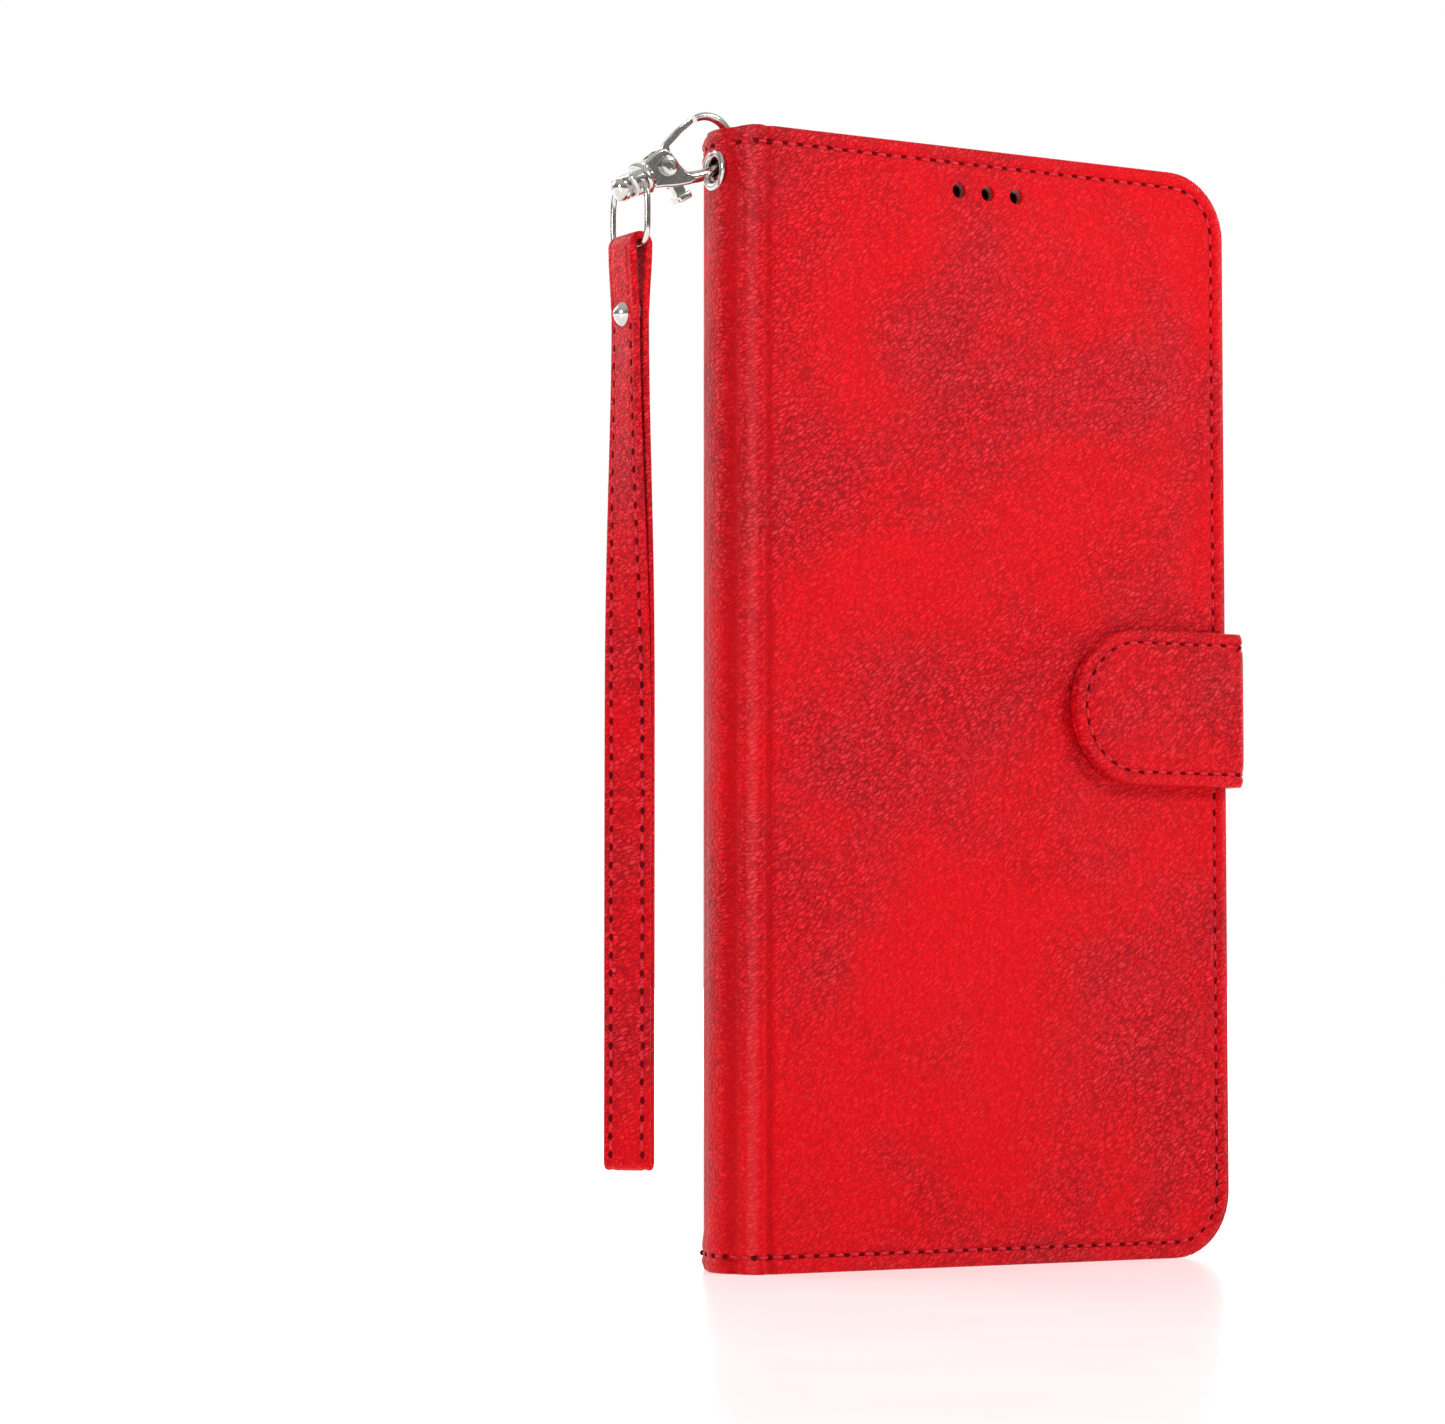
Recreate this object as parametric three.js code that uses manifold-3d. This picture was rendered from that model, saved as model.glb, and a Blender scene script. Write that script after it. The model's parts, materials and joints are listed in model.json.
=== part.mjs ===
// Folio wallet case for a phone, closed and standing on its bottom edge: two leather covers on
// a rounded spine, a clasp tab, a detachable bumper case inside, and a wrist strap on a swivel clasp.
//
// Units are millimetres. +X points from the spine to the fore edge, +Y to the rear and +Z up.
// The origin is on the bottom edge of the back cover, in the middle of its thickness and under
// the middle of the inner case.

import * as THREE from "three";
import { mergeVertices } from "three/addons/utils/BufferGeometryUtils.js";
import Module from "manifold-3d";

const wasm = await Module();
wasm.setup();

// ---- The phone and the bumper case that holds it ----

const PHONE_WIDTH = 78.1;
const PHONE_HEIGHT = 160.8;
const PHONE_DEPTH = 7.4;
const PHONE_CLEARANCE = 0.2;
const BUMPER_WALL = 1.5;
const BUMPER_CORNER = 11;
const LIP_THICKNESS = 0.75;
const LIP_REACH = 1.7;
const SHELL = 0.75;
const CASE_LEATHER = 0.5;
const CASE_PLATE = 0.3;
const CASE_PLATE_HEIGHT = 14;

// ---- Leather goods: skins, boards and linings ----

const LEATHER = 0.7;
const BACK_BOARD = 0.8;
const FRONT_BOARD = 0.7;
const BACK_LINING = 0.4;
const FRONT_LINING = 0.35;
const CASH_POCKET = 0.3;
const CARD_SLOT = 0.25;
const CARD_SLOT_COUNT = 3;
const LAYER_GAP = 0.05;
const HEM = 0.8;

// ---- Covers and spine ----

const BOTTOM_MARGIN = 1.75;
const TOP_MARGIN = 2.05;
const FORE_MARGIN = 2.4;
const SPINE_MARGIN = 0.1;
const COVER_CORNER = 10;
const CASE_GAP = 0.2;
const POCKET_GAP = 0.3;
const CREASE_GAP = 0.2;
const SPINE_BULGE = 3.9;
const SPINE_BOARD = 0.35;
const SPINE_LINING = 0.25;

// ---- Openings in the covers and the case ----

const WINDOW_WIDTH = 36.4;
const WINDOW_HEIGHT = 38.2;
const WINDOW_CORNER = 9.5;
const WINDOW_SIDE = 7.6;
const WINDOW_TOP = 5.8;
const WINDOW_STEP = 1.2;
const SPEAKER_HOLE = 2.3;
const SPEAKER_PITCH = 5.2;
const SPEAKER_COUNT = 3;
const SPEAKER_TOP = 6.6;
const PORT_WIDTH = 15;
const PORT_DEPTH = 5;
const MUTE_HEIGHT = 8.5;
const MUTE_DEPTH = 4.6;
const MUTE_FROM_TOP = 35;

// ---- Buttons of the bumper case ----

const VOLUME_LENGTH = 24.3;
const VOLUME_FROM_TOP = 53.9;
const POWER_LENGTH = 19.1;
const POWER_FROM_TOP = 56.2;
const PAD_WIDTH = 3.6;
const PAD_PROUD = 0.5;

// ---- Clasp tab ----

const TAB_HEIGHT = 23.8;
const TAB_CENTRE_Z = 84.2;
const TAB_REACH = 30;
const TAB_FLAP = 2;
const TAB_BAND_LEATHER = 0.85;
const TAB_BAND_LINING = 0.6;
const TAB_BAND_GAP = 0.4;
const TAB_FLAP_GAP = 0.3;
const TAB_LINING = 0.4;

// ---- Magnets and plates ----

const MAGNET_RADIUS = 5;
const MAGNET = 0.7;
const MAGNET_SPREAD = 24;
const MAGNET_HEIGHTS = [30, 108];
const TAB_MAGNET_RADIUS = 7;
const TAB_MAGNET = 0.5;
const CATCH_PLATE = 0.5;

// ---- Wrist strap, swivel clasp and eyelet ----

const EYELET_FROM_TOP = 6;
const EYELET_HOLE = 1.9;
const EYELET_WALL = 0.4;
const EYELET_FLANGE = 3.1;
const WIRE = 1.4;
const EYE_RADIUS = 3.35;
const CLASP_OUT = 0.95;
const CLASP_DOWN = 2.15;
const CLASP_DROOP = 30;
const CLASP_THICKNESS = 2.6;
const GATE_THICKNESS = 1;
const PIVOT_DROP = 8.5;
const COLLAR_TOP = 12;
const COLLAR_RADIUS = 2.65;
const COLLAR_LENGTH = 1.5;
const POST_RADIUS = 1.2;
const BLOCK_TOP = 13.9;
const BLOCK_LENGTH = 2.2;
const BLOCK_WIDTH = 6.9;
const BLOCK_DEPTH = 3.6;
const HEAD_RADIUS = 1.8;
const HEAD_LENGTH = 1.5;
const RING_WIRE = 0.9;
const RING_WIDTH = 11.1;
const RING_DROP = 9;
const STRAP_WIDTH = 7;
const STRAP_LENGTH = 136;
const STRAP_LAYER = 1.1;
const STRAP_TWIST = 42;
const STRAP_RIVET_DROP = 10;
const STRAP_RIVET_RADIUS = 2.7;

// ---- Clearances and smoothness ----

const FIT = 0.3;
const SNUG = 0.1;
const CORNER_STEPS = 4;
const SPINE_STEPS = 9;
const ROUND_STEPS = 20;
const WIRE_SIDES = 5;

// ---- Sizes worked out from the ones above ----

const caseWidth = PHONE_WIDTH + 2 * (PHONE_CLEARANCE + BUMPER_WALL);
const caseHeight = PHONE_HEIGHT + 2 * (PHONE_CLEARANCE + BUMPER_WALL);
const phoneBay = PHONE_DEPTH + PHONE_CLEARANCE - LAYER_GAP;
const backThickness = LEATHER + BACK_BOARD + BACK_LINING + 2 * LAYER_GAP;
const backFace = backThickness / 2;

const caseBox = {
  left: -caseWidth / 2,
  right: caseWidth / 2,
  bottom: BOTTOM_MARGIN,
  top: BOTTOM_MARGIN + caseHeight,
};
const caseRear = -backFace - CASE_GAP;
const shellRear = caseRear - CASE_LEATHER - LAYER_GAP;
const seat = shellRear - SHELL;
const lipRear = seat - phoneBay;
const caseFront = lipRear - LIP_THICKNESS;

const creaseX = caseBox.left - SPINE_MARGIN;
const coverBox = {
  left: creaseX + SPINE_MARGIN,
  right: caseBox.right + FORE_MARGIN,
  bottom: 0,
  top: caseBox.top + TOP_MARGIN,
};
const slotFace = caseFront - POCKET_GAP;
const slotsDepth = CARD_SLOT_COUNT * (CARD_SLOT + LAYER_GAP);
const cashRear = slotFace - slotsDepth;
const frontLiningRear = cashRear - CASH_POCKET - LAYER_GAP;
const frontBoardRear = frontLiningRear - FRONT_LINING - LAYER_GAP;
const frontSkinRear = frontBoardRear - FRONT_BOARD - LAYER_GAP;
const frontFace = frontSkinRear - LEATHER;

const spineHalf = (backFace - frontFace) / 2;
const spineMid = (backFace + frontFace) / 2;
const spineEdge = creaseX - CREASE_GAP - SPINE_MARGIN;
const spineRadius = (spineHalf ** 2 + SPINE_BULGE ** 2) / (2 * SPINE_BULGE);
const spineOuter = spineEdge - SPINE_BULGE;
const spineWall = LEATHER + SPINE_BOARD + SPINE_LINING + 2 * LAYER_GAP;

const windowBox = {
  left: coverBox.right - WINDOW_SIDE - WINDOW_WIDTH,
  right: coverBox.right - WINDOW_SIDE,
  bottom: coverBox.top - WINDOW_TOP - WINDOW_HEIGHT,
  top: coverBox.top - WINDOW_TOP,
};
const eyeletZ = coverBox.top - EYELET_FROM_TOP;

// ---- Small tools ----

// A box made smaller by the same amount on every side, or larger by a negative one.
function inset(box, by) {
  return { left: box.left + by, right: box.right - by, bottom: box.bottom + by, top: box.top - by };
}

// A rectangle in X-Z with round corners. The two corners on the spine side can be square.
function outline(box, radius, spineRadiusHere = radius) {
  const { left, right, bottom, top } = box;
  const s = spineRadiusHere;
  const shape = new THREE.Shape();
  shape.moveTo(left + s, bottom);
  shape.lineTo(right - radius, bottom);
  shape.absarc(right - radius, bottom + radius, radius, -Math.PI / 2, 0, false);
  shape.absarc(right - radius, top - radius, radius, 0, Math.PI / 2, false);
  shape.lineTo(left + s, top);
  if (s > 0) shape.absarc(left + s, top - s, s, Math.PI / 2, Math.PI, false);
  shape.lineTo(left, bottom + s);
  if (s > 0) shape.absarc(left + s, bottom + s, s, Math.PI, 1.5 * Math.PI, false);
  return shape;
}

// A flat plate: the X-Z outline, its rear face at y = rear, and its thickness towards the front.
function plate(shape, rear, thickness) {
  const options = { depth: thickness, bevelEnabled: false, curveSegments: CORNER_STEPS };
  return new THREE.ExtrudeGeometry(shape, options).rotateX(Math.PI / 2).translate(0, rear, 0);
}

// A bar with an X-Y section, from z = low to z = high.
function bar(section, low, high) {
  const options = { depth: high - low, bevelEnabled: false, curveSegments: SPINE_STEPS };
  return new THREE.ExtrudeGeometry(section, options).translate(0, 0, low);
}

// A block between two corners.
function block(low, high) {
  const size = high.map((value, axis) => value - low[axis]);
  const middle = high.map((value, axis) => (value + low[axis]) / 2);
  return new THREE.BoxGeometry(...size).translate(...middle);
}

// A round rod between two points.
function rod(radius, from, to, sides = ROUND_STEPS) {
  const a = new THREE.Vector3(...from);
  const b = new THREE.Vector3(...to);
  const along = b.clone().sub(a);
  const turn = new THREE.Quaternion().setFromUnitVectors(
    new THREE.Vector3(0, 1, 0),
    along.clone().normalize(),
  );
  const middle = a.add(b).multiplyScalar(0.5);
  return new THREE.CylinderGeometry(radius, radius, along.length(), sides)
    .applyQuaternion(turn)
    .translate(middle.x, middle.y, middle.z);
}

// A round wire along a smooth path through the points.
function wire(radius, points, steps) {
  const section = new THREE.Shape().absarc(0, 0, radius, 0, 2 * Math.PI, false);
  const path = new THREE.CatmullRomCurve3(points.map((p) => new THREE.Vector3(...p)), false, "centripetal");
  const options = { steps, extrudePath: path, curveSegments: WIRE_SIDES, bevelEnabled: false };
  return new THREE.ExtrudeGeometry(section, options);
}

// Points on an arc in X-Z, with angles in degrees from +X towards +Z.
function arcPoints(x, z, radius, from, to, count) {
  return Array.from({ length: count + 1 }, (_, i) => {
    const angle = THREE.MathUtils.degToRad(from + ((to - from) * i) / count);
    return [x + radius * Math.cos(angle), 0, z + radius * Math.sin(angle)];
  });
}

function toSolid(geometry) {
  const bare = geometry.clone().deleteAttribute("normal").deleteAttribute("uv");
  const merged = mergeVertices(bare, 1e-4);
  return new wasm.Manifold(
    new wasm.Mesh({
      numProp: 3,
      vertProperties: merged.attributes.position.array,
      triVerts: new Uint32Array(merged.index.array),
    }),
  );
}

function toGeometry(made) {
  const mesh = made.getMesh();
  const position = new THREE.BufferAttribute(mesh.vertProperties, 3);
  const geometry = new THREE.BufferGeometry().setAttribute("position", position);
  geometry.setIndex(new THREE.BufferAttribute(mesh.triVerts, 1));
  const flat = geometry.toNonIndexed();
  flat.computeVertexNormals();
  return flat;
}

function cut(geometry, ...tools) {
  return toGeometry(tools.reduce((made, tool) => made.subtract(toSolid(tool)), toSolid(geometry)));
}

function join(geometry, ...others) {
  return toGeometry(others.reduce((made, other) => made.add(toSolid(other)), toSolid(geometry)));
}

// ---- Materials ----

function finish(color, roughness, metalness = 0) {
  return new THREE.MeshStandardMaterial({ color, roughness, metalness });
}

const looks = {
  leather: () => finish(0xd0101c, 0.45),
  lining: () => finish(0x8c1220, 0.75),
  board: () => finish(0x8a8178, 0.9),
  magnet: () => finish(0x9a9a9c, 0.35, 1),
  steel: () => finish(0x8f9296, 0.4, 1),
  rubber: () => finish(0x1b1b1d, 0.65),
  nickel: () => finish(0xcfc8bd, 0.22, 1),
};

const part = new THREE.Group();

function add(name, geometry, look, group = part) {
  const mesh = new THREE.Mesh(geometry, looks[look]());
  mesh.name = name;
  group.add(mesh);
  return mesh;
}

// ---- Back cover ----

// The panel that fits inside a cover's turned edge. It runs to the crease on the spine side.
function coverFilling(by) {
  const box = { ...inset(coverBox, by), left: coverBox.left };
  return outline(box, COVER_CORNER - by, 0);
}

function cameraWindow(by) {
  return outline(inset(windowBox, -by), WINDOW_CORNER + by);
}

function backCover() {
  const boardRear = backFace - LEATHER - LAYER_GAP;
  const liningRear = boardRear - BACK_BOARD - LAYER_GAP;
  const through = plate(cameraWindow(0), backFace + 1, backThickness + 2);
  const clearHole = plate(cameraWindow(HEM + FIT), backFace + 1, backThickness + 2);
  const pocketDepth = backThickness - LEATHER + 1;
  const pocket = cut(
    plate(coverFilling(HEM), backFace - LEATHER, pocketDepth),
    plate(cameraWindow(HEM), backFace, backThickness + 2),
    block(
      [coverBox.left - 1, -backFace - 2, coverBox.bottom],
      [coverBox.left, backFace, coverBox.top],
    ),
  );
  const skin = plate(outline(coverBox, COVER_CORNER, 0), backFace, backThickness);
  add("back_cover_leather", cut(skin, pocket, through), "leather");

  const magnets = [];
  for (const z of MAGNET_HEIGHTS) {
    for (const x of [-MAGNET_SPREAD, MAGNET_SPREAD]) magnets.push([x, z]);
  }
  const magnetHoles = magnets.map(([x, z]) =>
    rod(MAGNET_RADIUS + FIT, [x, boardRear - BACK_BOARD - 1, z], [x, boardRear + 1, z]),
  );
  const board = plate(coverFilling(HEM + FIT), boardRear, BACK_BOARD);
  add("back_cover_board", cut(board, clearHole, ...magnetHoles), "board");
  magnets.forEach(([x, z], i) => {
    const disc = rod(MAGNET_RADIUS, [x, boardRear - MAGNET, z], [x, boardRear, z]);
    add("back_magnet_" + (i + 1), disc, "magnet");
  });
  const lining = plate(coverFilling(HEM + FIT), liningRear, BACK_LINING);
  add("back_cover_lining", cut(lining, clearHole), "lining");
}

// ---- Spine ----

const spineCentreX = spineOuter + spineRadius;

// A crescent section between two depths below the spine's outer surface, ending at x = end.
function spineSection(outerDepth, innerDepth, end) {
  const outer = spineRadius - outerDepth;
  const inner = spineRadius - innerDepth;
  const outerAngle = Math.acos((spineCentreX - end) / outer);
  const innerAngle = Math.acos((spineCentreX - end) / inner);
  const section = new THREE.Shape();
  section.absarc(spineCentreX, spineMid, outer, Math.PI - outerAngle, Math.PI + outerAngle, false);
  section.absarc(spineCentreX, spineMid, inner, Math.PI + innerAngle, Math.PI - innerAngle, true);
  section.closePath();
  return section;
}

function spine() {
  const { top } = coverBox;
  const flange = EYELET_FLANGE + FIT;
  const middle = (x) => [x, spineMid, eyeletZ];
  const recesses = [
    rod(EYELET_HOLE + EYELET_WALL + FIT, middle(spineOuter - 2), middle(spineOuter + 5)),
    rod(flange, middle(spineOuter - 2), middle(spineOuter + LEATHER - 0.2)),
    rod(flange, middle(spineOuter + spineWall - FIT), middle(spineOuter + 5)),
  ];
  const boardDepth = LEATHER + LAYER_GAP;
  const liningDepth = boardDepth + SPINE_BOARD + LAYER_GAP;
  const whole = bar(spineSection(0, spineWall, spineEdge), 0, top);
  const pocket = bar(spineSection(LEATHER, spineWall + 1, spineEdge + 1), HEM, top - HEM);
  add("spine_leather", cut(whole, pocket, ...recesses), "leather");

  const low = HEM + FIT;
  const end = spineEdge - 2 * FIT;
  const board = bar(spineSection(boardDepth, boardDepth + SPINE_BOARD, end), low, top - low);
  add("spine_board", cut(board, ...recesses), "board");
  const lining = bar(spineSection(liningDepth, spineWall, end), low, top - low);
  add("spine_lining", cut(lining, ...recesses), "lining");
}

function strapEyelet() {
  const barrel = EYELET_HOLE + EYELET_WALL;
  const front = -0.25;
  const back = spineWall + 0.35;
  const profile = [
    [EYELET_HOLE, front + 0.15],
    [EYELET_HOLE, back - 0.1],
    [EYELET_HOLE + 0.2, back],
    [EYELET_FLANGE, back],
    [EYELET_FLANGE, spineWall],
    [barrel, spineWall],
    [barrel, 0.2],
    [EYELET_FLANGE, 0.2],
    [EYELET_FLANGE, front],
    [EYELET_HOLE + 0.2, front],
    [EYELET_HOLE, front + 0.15],
  ].map(([radius, depth]) => new THREE.Vector2(radius, -depth));
  const eyelet = new THREE.LatheGeometry(profile, ROUND_STEPS + 4).rotateZ(Math.PI / 2);
  eyelet.translate(spineOuter, spineMid, eyeletZ);
  add("strap_eyelet", eyelet, "nickel");
}

// ---- Front cover, pockets and catch ----

const catchX = coverBox.right - TAB_REACH + TAB_HEIGHT / 2;

function frontCover() {
  const skin = plate(outline(coverBox, COVER_CORNER, 0), frontLiningRear, frontLiningRear - frontFace);
  const pocket = cut(
    plate(coverFilling(HEM), frontLiningRear + 1, frontLiningRear + 1 - frontSkinRear),
    block(
      [coverBox.left - 1, frontFace - 1, coverBox.bottom],
      [coverBox.left, frontLiningRear + 2, coverBox.top],
    ),
  );
  const speakerZ = coverBox.top - SPEAKER_TOP;
  const speakers = (radius) =>
    Array.from({ length: SPEAKER_COUNT }, (_, i) => {
      const x = (i - (SPEAKER_COUNT - 1) / 2) * SPEAKER_PITCH - SPEAKER_HOLE / 2;
      return rod(radius, [x, frontFace - 2, speakerZ], [x, frontLiningRear + 2, speakerZ], 14);
    });
  const holes = speakers(SPEAKER_HOLE / 2);
  add("front_cover_leather", cut(skin, pocket, ...holes), "leather");

  const catchHole = rod(
    TAB_MAGNET_RADIUS + FIT,
    [catchX, frontSkinRear - 1, TAB_CENTRE_Z],
    [catchX, frontBoardRear + 1, TAB_CENTRE_Z],
  );
  const board = plate(coverFilling(HEM + FIT), frontBoardRear, FRONT_BOARD);
  add("front_cover_board", cut(board, catchHole, ...holes), "board");
  const discRear = frontSkinRear + LAYER_GAP + CATCH_PLATE;
  const disc = rod(
    TAB_MAGNET_RADIUS,
    [catchX, discRear - CATCH_PLATE, TAB_CENTRE_Z],
    [catchX, discRear, TAB_CENTRE_Z],
  );
  add("catch_plate", disc, "steel");
  const lining = plate(coverFilling(HEM + FIT), frontLiningRear, FRONT_LINING);
  add("front_cover_lining", cut(lining, ...holes), "lining");
}

function pockets() {
  const side = 3.5;
  const edges = { left: coverBox.left + side, right: coverBox.right - side, bottom: side };
  const cash = { ...edges, top: coverBox.top - 2 * SPEAKER_TOP };
  add("cash_pocket", plate(outline(cash, 6, 1), cashRear, CASH_POCKET), "lining");
  const firstTop = cash.top - 12;
  const step = 22;
  for (let i = 0; i < CARD_SLOT_COUNT; i += 1) {
    const rear = cashRear + (i + 1) * (CARD_SLOT + LAYER_GAP);
    const slot = { ...edges, right: cash.right - 12, bottom: side + 2, top: firstTop - i * step };
    add("card_slot_" + (i + 1), plate(outline(slot, 2, 1), rear, CARD_SLOT), "leather");
  }
}

// ---- Clasp tab: a band round the fore edge and a flap over the front cover ----

const tab = { low: TAB_CENTRE_Z - TAB_HEIGHT / 2, high: TAB_CENTRE_Z + TAB_HEIGHT / 2 };
const bandInner = coverBox.right + TAB_BAND_GAP;
const bandOuter = bandInner + TAB_BAND_LINING + LAYER_GAP + TAB_BAND_LEATHER;
const flapRear = frontFace - TAB_FLAP_GAP;

function tabBand() {
  const back = backFace - LEATHER - 0.5;
  const split = bandInner + TAB_BAND_LINING;
  add("tab_band_leather", block([split + LAYER_GAP, frontFace, tab.low], [bandOuter, back, tab.high]), "leather");
  const margin = FIT;
  const lining = block([bandInner, frontFace, tab.low + margin], [split, back, tab.high - margin]);
  add("tab_band_lining", lining, "lining");
}

// The flap's outline: square at the fore edge, with a half-round tip.
function flapOutline(by) {
  const radius = TAB_HEIGHT / 2 - by;
  const shape = new THREE.Shape();
  shape.moveTo(catchX, tab.low + by);
  shape.lineTo(bandOuter - by, tab.low + by);
  shape.lineTo(bandOuter - by, tab.high - by);
  shape.lineTo(catchX, tab.high - by);
  shape.absarc(catchX, TAB_CENTRE_Z, radius, Math.PI / 2, 1.5 * Math.PI, false);
  return shape;
}

function tabFlap() {
  const skinRear = flapRear - TAB_FLAP + LEATHER + 0.1;
  const skin = plate(flapOutline(0), flapRear, TAB_FLAP);
  const pocket = plate(flapOutline(HEM), flapRear + 1, flapRear + 1 - skinRear);
  add("tab_flap_leather", cut(skin, pocket), "leather");
  const magnetRear = skinRear + LAYER_GAP + TAB_MAGNET;
  const disc = rod(
    TAB_MAGNET_RADIUS,
    [catchX, skinRear + LAYER_GAP, TAB_CENTRE_Z],
    [catchX, magnetRear, TAB_CENTRE_Z],
  );
  add("tab_magnet", disc, "magnet");
  add("tab_flap_lining", plate(flapOutline(HEM + FIT), flapRear - LAYER_GAP, TAB_LINING), "lining");
}

// ---- Inner case ----

const padMiddle = (seat + lipRear) / 2;
const volumeZ = caseBox.top - VOLUME_FROM_TOP;
const powerZ = caseBox.top - POWER_FROM_TOP;

// A round-ended hole or pad through a side wall, along Z, between two places on X.
function sidePad(width, length, z, fromX, toX) {
  const radius = width / 2;
  const half = length / 2 - radius;
  const shape = new THREE.Shape();
  shape.absarc(padMiddle, z + half, radius, 0, Math.PI, false);
  shape.absarc(padMiddle, z - half, radius, Math.PI, 2 * Math.PI, false);
  const options = { depth: toX - fromX, bevelEnabled: false, curveSegments: CORNER_STEPS };
  const toSide = new THREE.Matrix4().makeBasis(
    new THREE.Vector3(0, 1, 0),
    new THREE.Vector3(0, 0, 1),
    new THREE.Vector3(1, 0, 0),
  );
  return new THREE.ExtrudeGeometry(shape, options).applyMatrix4(toSide).translate(fromX, 0, 0);
}

function bumper() {
  const { left, right, bottom, top } = caseBox;
  const cavity = inset(caseBox, BUMPER_WALL);
  const opening = inset(caseBox, BUMPER_WALL + LIP_REACH);
  const muteZ = top - MUTE_FROM_TOP;
  const frame = cut(
    plate(outline(caseBox, BUMPER_CORNER), caseRear, caseRear - caseFront),
    plate(outline(cavity, BUMPER_CORNER - BUMPER_WALL), caseRear + 1, caseRear + 1 - lipRear),
    plate(outline(opening, BUMPER_CORNER - BUMPER_WALL - LIP_REACH), caseRear, 2 * (caseRear - caseFront)),
    block(
      [-PORT_WIDTH / 2, padMiddle - PORT_DEPTH / 2, bottom - 1],
      [PORT_WIDTH / 2, padMiddle + PORT_DEPTH / 2, bottom + BUMPER_WALL + 1],
    ),
    sidePad(MUTE_DEPTH, MUTE_HEIGHT, muteZ, left - 1, left + BUMPER_WALL + 1),
    sidePad(PAD_WIDTH + 2 * FIT, VOLUME_LENGTH + 2 * FIT, volumeZ, left - 1, left + BUMPER_WALL + 1),
    sidePad(PAD_WIDTH + 2 * FIT, POWER_LENGTH + 2 * FIT, powerZ, right - BUMPER_WALL - 1, right + 1),
  );
  add("bumper_frame", frame, "rubber");
  const volumeX = left - PAD_PROUD;
  add("volume_pad", sidePad(PAD_WIDTH, VOLUME_LENGTH, volumeZ, volumeX, volumeX + BUMPER_WALL), "rubber");
  const powerX = right + PAD_PROUD;
  add("power_pad", sidePad(PAD_WIDTH, POWER_LENGTH, powerZ, powerX - BUMPER_WALL, powerX), "rubber");
}

function caseBack() {
  const edge = BUMPER_WALL + SNUG;
  const panel = outline(inset(caseBox, edge), BUMPER_CORNER - edge);
  const through = plate(cameraWindow(-WINDOW_STEP), caseRear + 2, 10);
  const plateBox = (z, by) => ({
    left: -MAGNET_SPREAD - MAGNET_RADIUS - 3 - by,
    right: MAGNET_SPREAD + MAGNET_RADIUS + 3 + by,
    bottom: z - CASE_PLATE_HEIGHT / 2 - by,
    top: z + CASE_PLATE_HEIGHT / 2 + by,
  });
  const recesses = MAGNET_HEIGHTS.map((z) =>
    plate(outline(plateBox(z, FIT), 2 + FIT), shellRear + 1, CASE_PLATE + LAYER_GAP + 1),
  );
  add("case_back_shell", cut(plate(panel, shellRear, SHELL), through, ...recesses), "rubber");
  MAGNET_HEIGHTS.forEach((z, i) => {
    add("case_plate_" + (i + 1), plate(outline(plateBox(z, 0), 2), shellRear, CASE_PLATE), "steel");
  });
  add("case_back_leather", cut(plate(panel, caseRear, CASE_LEATHER), through), "leather");
}

// ---- Swivel clasp, drawn upright in its own group: eye at the origin, swivel below ----

const claspX = spineOuter - CLASP_OUT;
const claspZ = coverBox.top - CLASP_DOWN;
const wireRadius = WIRE / 2;
const crown = EYE_RADIUS + wireRadius;
const tilt = THREE.MathUtils.degToRad(90 - CLASP_DROOP);

const clasp = new THREE.Group();
clasp.position.set(claspX, spineMid, claspZ);
clasp.rotation.y = tilt;
part.add(clasp);

function claspHook() {
  const halfPlate = CLASP_THICKNESS / 2;
  const bend = arcPoints(0, 0, crown, 176, 0, 12);
  const bow = wire(wireRadius, [...bend, [crown - 0.25, 0, -2.5], [crown - 1, 0, -6.2]], 22);
  const cheeks = new THREE.Shape(
    [[-2.2, -7.2], [2.4, -5.6], [4, -5.4], [1.8, -COLLAR_TOP], [-1.8, -COLLAR_TOP]].map(
      ([x, z]) => new THREE.Vector2(x, z),
    ),
  );
  const collarEnd = COLLAR_TOP + COLLAR_LENGTH;
  const slotHalf = GATE_THICKNESS / 2 + FIT;
  const whole = join(
    plate(cheeks, halfPlate, CLASP_THICKNESS),
    bow,
    rod(COLLAR_RADIUS, [0, 0, -COLLAR_TOP + 0.2], [0, 0, -collarEnd]),
  );
  const pivotBore = rod(
    0.6 + FIT,
    [0, -CLASP_THICKNESS, -PIVOT_DROP],
    [0, CLASP_THICKNESS, -PIVOT_DROP],
    12,
  );
  const postBore = rod(POST_RADIUS + FIT, [0, 0, -COLLAR_TOP - 0.4], [0, 0, -collarEnd - 1]);
  const slot = block([-6, -slotHalf, -10.7], [6, slotHalf, -7.1]);
  const gateMouth = block([-6, -slotHalf, -7.5], [1.2, slotHalf, -5]);
  add("hook_body", cut(whole, slot, gateMouth, pivotBore, postBore), "nickel", clasp);
}

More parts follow.
